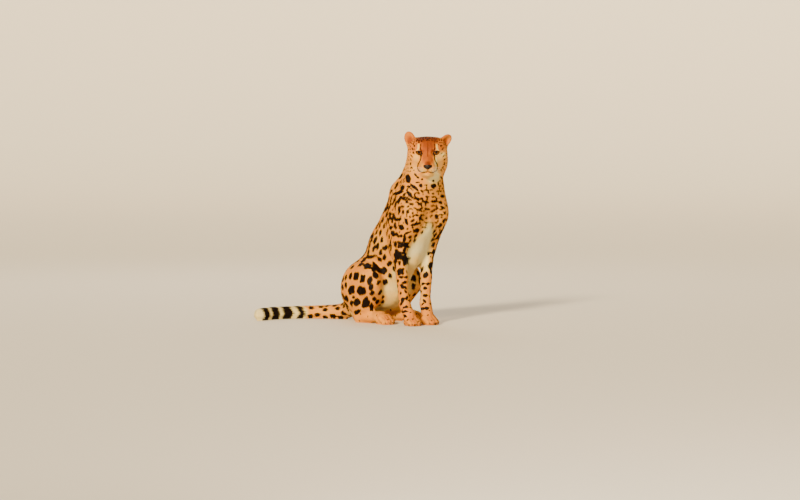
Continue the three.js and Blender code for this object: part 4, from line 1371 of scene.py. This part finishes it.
def coat_colour(nodes):
    """Ground and spots, from the numbers that skin and hair share."""
    wander = nodes.math("MULTIPLY", nodes.math("SUBTRACT", nodes.noise(260, 3), 0.5), 3.0)
    black = nodes.within(nodes.math("ADD", nodes.number("spot"), wander), 0.9, -0.9)
    patchy = nodes.math("MULTIPLY", nodes.math("SUBTRACT", nodes.noise(18, 4), 0.5), 0.26)
    ground = nodes.ramp(nodes.math("ADD", nodes.number("tone"), patchy), GROUND)
    return nodes.mix(black, ground, BLACK_HAIR)


def skin_finish():
    nodes = Nodes("short coat")
    streaks = [nodes.noise(900, 2, [0.12 if axis == i else 1 for axis in range(3)]) for i in range(3)]
    parts = nodes.add("ShaderNodeSeparateXYZ", i0=nodes.vector("lie")).outputs
    total = 0.0
    for streak, part in zip(streaks, parts):
        total = nodes.math("ADD", total, nodes.math("MULTIPLY", streak, nodes.math("MULTIPLY", part, part)))
    between = nodes.mix(nodes.within(total, 0.25, 0.75), SHADED, WHITE)
    colour = nodes.mix(0.35, coat_colour(nodes), between, "MULTIPLY")
    bare = nodes.number("bare")
    rough = nodes.math("SUBTRACT", 0.72, nodes.math("MULTIPLY", bare, 0.38))
    grain = nodes.math("MULTIPLY", nodes.noise(1500, 1), nodes.math("MULTIPLY", bare, 0.5))
    height = nodes.math("ADD", nodes.math("MULTIPLY", total, nodes.math("SUBTRACT", 1.0, bare)), grain)
    return nodes.finish(Base_Color=colour, Roughness=rough, Specular_IOR_Level=0.2,
                        Normal=nodes.bump(height, 0.55, 0.0012))


skin.data.materials.append(skin_finish())
skin.data.shade_smooth()
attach(skin, "root")
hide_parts(*FLESH)
print("skin:", len(skin.data.polygons), "faces")

# %% [markdown]
# ## The coat
#
# A short coat could be grown as particle hair, but that is lost when the model leaves Blender. These hairs
# are solid: each tuft is a slim three-sided spike of four faces. A few hundred thousand lie like roof tiles
# over the skin, rooted a little under it, with their tips as high as the coat is deep. They are longer where
# the coat is deeper, and the thinner and shorter they are, the closer they stand.
#
# The body is covered piece by piece. A copy of the skin under each piece is unwrapped, and the tufts are sown
# on its faces by area. Each tuft keeps the numbers of the skin under its middle, and a tiny patch of the
# unwrap there, so that a colour map of the coat holds the right colour for every tuft.

# %% The pieces of the coat
COAT_PIECES = {
    "face": ("head",),
    "crown": ("head", "ear"),
    "neck": ("neck",),
    "chest": ("trunk",),
    "back": ("trunk",),
    "upper_forelegs": ("foreleg_upper",),
    "lower_forelegs": ("foreleg_lower", "forefoot"),
    "thighs": ("thigh",),
    "hind_feet": ("shank", "hindfoot"),
    "tail": ("tail",),
}
CHEST_HEIGHT = 262 * MM
FACE_FRONT = 12  # millimetres, ahead of the head's middle


def vertex_in_piece(piece):
    """Which vertices of the skin lie under a piece of the coat."""
    mine = of_part(*COAT_PIECES[piece]) > 0
    halves = {"face": HX > FACE_FRONT, "crown": HX <= FACE_FRONT,
              "chest": SKIN_POINTS[:, 2] > CHEST_HEIGHT, "back": SKIN_POINTS[:, 2] <= CHEST_HEIGHT}
    return mine & halves.get(piece, True)


print("vertices under the face's coat:", int(vertex_in_piece("face").sum()))


# %% The ground under a piece
TUFTS = 340000
MOST_TUFTS = 49500  # of four triangles each, in one piece
LENGTH_TO_DEPTH = 2.9
MOST_BARE = 0.35  # where the skin is barer, no hair grows
LOWEST_TUFT = 1.2  # millimetres above the floor
UNWRAP_ANGLE, ISLAND_MARGIN = math.radians(66), 0.004


def tuft_width(depth_at):
    """The breadth of a tuft in millimetres, on a coat of this depth."""
    return 0.16 + 0.24 * depth_at


def unwrapped_ground(piece):
    """A copy of the skin's faces under a piece, unwrapped by its own shape."""
    bm = bmesh.new()
    bm.from_mesh(skin.data)
    bm.verts.ensure_lookup_table()
    mine = vertex_in_piece(piece)
    away = [face for face in bm.faces if not mine[face.verts[0].index]]
    bmesh.ops.delete(bm, geom=away, context="FACES")
    bmesh.ops.triangulate(bm, faces=bm.faces)
    ground = add_object("ground", mesh_from(bm, "ground"))
    bpy.context.view_layer.objects.active = ground
    bpy.ops.object.select_all(action="DESELECT")
    ground.select_set(True)
    bpy.ops.object.mode_set(mode="EDIT")
    bpy.ops.mesh.select_all(action="SELECT")
    bpy.ops.uv.smart_project(angle_limit=UNWRAP_ANGLE, island_margin=ISLAND_MARGIN)
    bpy.ops.object.mode_set(mode="OBJECT")
    return ground


class Ground:
    """The arrays that the sowing needs from an unwrapped piece of skin."""

    def __init__(self, piece):
        copy = unwrapped_ground(piece)
        mesh = copy.data
        self.corners = read(mesh.loops, "vertex_index", 1, np.int32).reshape(-1, 3)
        self.points = points_of(mesh) / MM
        self.uv = read(mesh.uv_layers[0].data, "uv", 2).reshape(-1, 3, 2)
        self.values = {}
        for name, values in ON_SKIN.items():
            field, width = ("vector", 3) if values.ndim == 2 else ("value", 1)
            self.values[name] = read(mesh.attributes[name].data, field, width)
        triangles = self.points[self.corners]
        a, b, c = triangles.transpose(1, 0, 2)
        area = length(np.cross(b - a, c - a)) / 2
        deep = self.values["depth"][self.corners].mean(1)
        hairy = self.values["bare"][self.corners].max(1) < MOST_BARE
        hairy &= triangles[..., 2].min(1) > LOWEST_TUFT
        self.weight = area * hairy / (LENGTH_TO_DEPTH * deep * tuft_width(deep))
        bpy.data.objects.remove(copy)
        bpy.data.meshes.remove(mesh)

    def at(self, name, triangles, shares):
        """A number or a direction at places inside triangles."""
        values = self.values[name][self.corners[triangles]]
        return (values * (shares[..., None] if values.ndim == 3 else shares)).sum(1)


grounds = {piece: Ground(piece) for piece in COAT_PIECES}
total_weight = sum(ground.weight.sum() for ground in grounds.values())
print("unwrapped:", {piece: len(ground.corners) for piece, ground in grounds.items()})

# %% [markdown]
# The spikes are written as arrays, as no operator makes so many different ones at once. Base left, base
# right and base top, then the tip: four vertices and four faces a tuft.

# %% Spikes
SPIKE = np.array([(0, 1, 3), (1, 2, 3), (2, 0, 3), (0, 2, 1)])
UV_PATCH = 0.003  # of the width of the unwrap
PATCH_CORNERS = np.array([(-0.5, -0.4), (0.5, -0.4), (0, 0.1), (0, 0.5)]) * UV_PATCH


def spikes(root, tip, across, up, width):
    """The four corners of each tuft."""
    half = across * width[:, None] / 2
    top = up * width[:, None] * 0.45
    return np.stack([root - half, root + half, root + top, tip], 1)


def mesh_of_spikes(name, corners, uv):
    count = len(corners)
    mesh = bpy.data.meshes.new(name)
    mesh.vertices.add(count * 4)
    mesh.vertices.foreach_set("co", (corners * MM).astype(np.float32).ravel())
    faces = (SPIKE[None] + 4 * np.arange(count)[:, None, None]).reshape(-1)
    mesh.loops.add(count * 12)
    mesh.loops.foreach_set("vertex_index", faces.astype(np.int32))
    mesh.polygons.add(count * 4)
    mesh.polygons.foreach_set("loop_start", np.arange(0, count * 12, 3, dtype=np.int32))
    mesh.update(calc_edges=True)
    patch = (uv[:, None] + PATCH_CORNERS)[:, SPIKE.ravel()]
    mesh.uv_layers.new(name="OFBake").data.foreach_set("uv", np.clip(patch, 0, 1).astype(np.float32).ravel())
    return mesh


print("corners of a tuft:", SPIKE.max() + 1, "faces:", len(SPIKE))

# %% [markdown]
# Each tuft leans up from its root along the lie of the coat, with a little swing of its own, so that no two
# run quite side by side. The pale hair of the belly and the brisket is longer and looser than the rest.

# %% Sow the tufts
SWING = 0.16  # radians, how far hairs stray from the lie
SHAGGY = 0.9  # how much longer the pale hair of the underside is
SHAGGY_TONE, SHAGGY_DEPTH = (0.12, 0.3), (2.2, 3.2)  # shaggy below these tones and above these depths
BEHIND = 0.45  # the share of a tuft's length that lies behind its middle
ROOT_DEPTH, FLOOR_GAP = 0.35, 0.35  # millimetres


def sow(piece, ground):
    count = min(round(TUFTS * ground.weight.sum() / total_weight), MOST_TUFTS)
    reach = np.cumsum(ground.weight)
    triangles = np.searchsorted(reach, RANDOM.random(count) * reach[-1])
    shares = RANDOM.dirichlet((1, 1, 1), count)
    middle = (ground.points[ground.corners[triangles]] * shares[..., None]).sum(1)
    up = unit(ground.at("even", triangles, shares))
    along = ground.at("lie", triangles, shares)
    along = unit(along - up * (along * up).sum(1)[:, None])
    across = np.cross(up, along)
    swing = RANDOM.normal(0, SWING, count)[:, None]
    swung = along * np.cos(swing) + across * np.sin(swing)
    across = across * np.cos(swing) - along * np.sin(swing)
    depth_at = ground.at("depth", triangles, shares)
    deep = depth_at * RANDOM.uniform(0.62, 1.0, count)
    long = LENGTH_TO_DEPTH * depth_at * RANDOM.uniform(0.75, 1.15, count)
    shaggy = 1 - smoothstep(ground.at("tone", triangles, shares), *SHAGGY_TONE)
    shaggy *= smoothstep(deep, *SHAGGY_DEPTH)
    long = (long * (1 + SHAGGY * shaggy))[:, None]
    root = middle - swung * long * BEHIND - up * ROOT_DEPTH
    tip = middle + swung * long * (1 - BEHIND) + up * deep[:, None]
    width = tuft_width(depth_at) * RANDOM.uniform(0.8, 1.2, count)
    corners = spikes(root, tip, across, up, width)
    corners[..., 2] = np.maximum(corners[..., 2], FLOOR_GAP)
    uv = (ground.uv[triangles] * shares[..., None]).sum(1)
    mesh = mesh_of_spikes(f"coat_{piece}", corners, uv)
    for name in ("spot", "tone"):
        store(mesh, name, np.repeat(ground.at(name, triangles, shares), 4))
    store(mesh, "shade", np.repeat(RANDOM.uniform(0, 1, count), 4))
    # Painted shade along each tuft: 0 at the three root corners and 1 at the tip, so that the root is drawn
    # darker.
    store(mesh, "tip", np.tile([0, 0, 0, 1.0], count))
    return mesh, up


tufts = {piece: sow(piece, ground) for piece, ground in grounds.items()}
print("tufts:", {piece: len(up) for piece, (mesh, up) in tufts.items()})
print("tufts in all:", sum(len(up) for mesh, up in tufts.values()))

# %% [markdown]
# Every tuft is a little lighter or darker than its neighbours, as real hair is, and it is painted darker at
# its root and lighter at its tip: painted shade where the roots lie under the other hairs. The normals of the
# tufts lean towards the skin's own, so that the coat shades as one soft surface and doesn't glitter. Hair is
# hardly shiny, so its highlight is weak and broad.

# %% The finish of the hair
SOFT_NORMALS = 0.8
DARKEST, LIGHTEST = (0.78, 0.75, 0.72), (1.14, 1.14, 1.14)  # shares of the coat's colour


def hair_finish():
    nodes = Nodes("hair")
    # Painted shade: the root of each tuft is darkened and its tip lightened, on top of the tuft's own random
    # shade.
    bright = nodes.math("ADD", nodes.math("MULTIPLY", nodes.number("shade"), 0.26),
                        nodes.math("MULTIPLY", nodes.number("tip"), 0.22))
    lights = nodes.ramp(bright, {0.0: DARKEST, 0.5: LIGHTEST})
    colour = nodes.mix(1.0, coat_colour(nodes), lights, "MULTIPLY")
    return nodes.finish(Base_Color=colour, Roughness=0.62, Specular_IOR_Level=0.08)


hair = hair_finish()
for mesh, up in tufts.values():
    mesh.materials.append(hair)
    soft = unit(normals_of(mesh) * (1 - SOFT_NORMALS) + np.repeat(up, 4, axis=0) * SOFT_NORMALS)
    store(mesh, "custom_normal", soft)
    coat = add_object(mesh.name, mesh)
    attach(coat, "root")
print("coat pieces:", [mesh.name for mesh, up in tufts.values()])

# %% [markdown]
# ## The eyes
#
# A glass eye in a museum model is a ball with a slight bulge, the cornea, over an amber iris and a round
# pupil. It is shaped from a sphere whose pole looks straight at the viewer. Each vertex keeps its angle from
# the pole, its bearing round it and its height, so that the rings and the fibres of the iris and the shade
# of the upper lid need no painted image.

# %% The shape of a glass eye
CORNEA_REACH = math.radians(33)
CORNEA_BULGE = 1.3 * MM
POLE = Vector((0, 0, 1))


def glass_eye(name):
    radius = EYE_RADIUS * MM
    bm = bmesh.new()
    bmesh.ops.create_uvsphere(bm, u_segments=64, v_segments=48, radius=radius)
    for vert in bm.verts:
        rise = max(0, 1 - (vert.co.angle(POLE) / CORNEA_REACH) ** 2)
        vert.co *= 1 + CORNEA_BULGE * rise ** 2 / radius
    ring = [math.degrees(vert.co.angle(POLE)) for vert in bm.verts]
    bearings = [math.atan2(vert.co.y, vert.co.x) for vert in bm.verts]
    gaze = direction(CAMERA_AZIMUTH).to_track_quat("Z", "Y").to_matrix()
    bmesh.ops.rotate(bm, verts=bm.verts, matrix=gaze)
    height = [vert.co.z / radius for vert in bm.verts]
    bmesh.ops.translate(bm, verts=bm.verts, vec=centre_of(name))
    eye = add_object(name.replace("eye", "glass_eye"), mesh_from(bm, name))
    store(eye.data, "ring", np.array(ring))
    store(eye.data, "height", np.array(height))
    store(eye.data, "fibre", np.array([(math.cos(turn), math.sin(turn), 0) for turn in bearings]))
    eye.data.shade_smooth()
    return eye


print("the cornea rises by", round(CORNEA_BULGE / MM, 2), "mm")

# %% The finish of a glass eye
IRIS_ANGLE = 60.0  # degrees from the pole, where the ramp ends
BLACK = (0.001, 0.001, 0.001)
IRIS = {
    0.0: BLACK,
    0.27: BLACK,  # edge of the pupil
    0.30: (0.10, 0.028, 0.002),
    0.44: (0.26, 0.085, 0.005),
    0.62: (0.12, 0.03, 0.002),
    0.70: (0.005, 0.002, 0.001),  # dark ring round the iris
    0.80: (0.002, 0.001, 0.001),
}


def eye_finish():
    nodes = Nodes("amber glass eye")
    place = nodes.add("ShaderNodeVectorMath", {"operation": "SCALE"}, i0=nodes.vector("fibre"), i3=7.0)
    streak = nodes.add("ShaderNodeTexNoise", Vector=place.outputs[0], Scale=3.0, Detail=4.0).outputs["Fac"]
    angle = nodes.math("ADD", nodes.number("ring"), nodes.math("MULTIPLY", streak, 3.0))
    iris = nodes.ramp(nodes.math("DIVIDE", angle, IRIS_ANGLE), IRIS)
    fibres = nodes.mix(nodes.within(streak, 0.35, 0.6), (0.35, 0.3, 0.25, 1), WHITE)
    lid_shadow = nodes.mix(nodes.within(nodes.number("height"), 0.02, 0.36), WHITE, (0.12, 0.1, 0.1, 1))
    for layer in (fibres, lid_shadow):
        iris = nodes.mix(1.0, iris, layer, "MULTIPLY")
    return nodes.finish(Base_Color=iris, Roughness=0.6, Specular_IOR_Level=0.05,
                        Coat_Weight=0.35, Coat_Roughness=0.03)


amber = eye_finish()
for name in EYES:
    eye = glass_eye(name)
    eye.data.materials.append(amber)
    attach(eye, "root")
    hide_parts(name)
print("eye centres:", [tuple(round(c, 3) for c in centre_of(name)) for name in EYES])

# %% [markdown]
# ## Whiskers
#
# Whiskers are stiff, pale and thin, and grow in rows from the pads beside the nose. Each is a slim cone, cut
# across into short lengths and bent down under its weight, and the farther from the nose it grows, the more
# it points back. They are few, so they are simply joined into one piece.

# %% Whiskers
WHISKER_ROOT, WHISKER_TIP = 0.16 * MM, 0.04 * MM
SHORTEST, LONGEST = 26, 44  # millimetres
SAG = 0.16  # how far the tip drops, as a share of the length
ROOTED = 1.5  # millimetres under the skin


def whisker(root, towards, long):
    bm = bmesh.new()
    bmesh.ops.create_cone(bm, segments=5, radius1=WHISKER_ROOT, radius2=WHISKER_TIP, depth=long,
                          cap_ends=True)
    lengthwise = [edge for edge in bm.edges if edge.calc_length() > long / 2]
    bmesh.ops.subdivide_edges(bm, edges=lengthwise, cuts=7)
    bmesh.ops.translate(bm, verts=bm.verts, vec=(0, 0, long / 2))
    bmesh.ops.rotate(bm, verts=bm.verts, matrix=towards.to_track_quat("Z", "Y").to_matrix())
    for vert in bm.verts:
        vert.co.z -= SAG * long * (vert.co.dot(towards) / long) ** 2
    bmesh.ops.translate(bm, verts=bm.verts, vec=root)
    return mesh_from(bm, "whisker")


bm = bmesh.new()
for side in (1, -1):
    for row in range(4):
        for dot in range(4 - row // 2):
            aside, up = whisker_place(row, dot)
            root = dropped(side * (14 + aside), up) - (ROOTED, 0, 0)
            fan = np.array([0.1 - 0.26 * dot, side * (0.8 + 0.05 * dot), -0.12 * (row - 1)])
            fan += RANDOM.normal(0, 0.05, 3)
            towards = Vector((unit(fan) @ HEAD_AXES).tolist())
            long = RANDOM.uniform(SHORTEST, LONGEST) * MM
            bm.from_mesh(whisker(Vector(from_head(root).tolist()), towards, long))
bmesh.ops.recalc_face_normals(bm, faces=bm.faces)
whiskers = add_object("whiskers", mesh_from(bm, "whiskers"))
nodes = Nodes("whisker")
ivory = nodes.ramp(nodes.noise(90), {0.3: (0.8, 0.74, 0.62), 0.7: (0.92, 0.88, 0.8)})
whiskers.data.materials.append(nodes.finish(Base_Color=ivory, Roughness=0.35))
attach(whiskers, "root")
print("whiskers:", len(whiskers.data.polygons), "faces")

# %% [markdown]
# ## Claws
#
# A cheetah's claws stay out, so they show as blunt dark hooks. The solids already have their shape, so they
# are kept and only get the finish of horn: nearly black, streaked along their length, and smooth.

# %% Horn
def horn_finish():
    nodes = Nodes("dark horn")
    streak = nodes.noise(420, 3, (0.25, 1, 1))
    colour = nodes.ramp(streak, {0.3: (0.02, 0.014, 0.010), 0.75: (0.11, 0.085, 0.06)})
    rough = nodes.math("ADD", 0.26, nodes.math("MULTIPLY", streak, 0.2))
    return nodes.finish(Base_Color=colour, Roughness=rough, Normal=nodes.bump(streak, 0.3, 0.0003))


horn = horn_finish()
claws = [name for name in NODES if name.startswith(("claw", "dewclaw"))]
for name in claws:
    for slot in NODES[name].material_slots:
        slot.material = horn
print("claws:", len(claws))
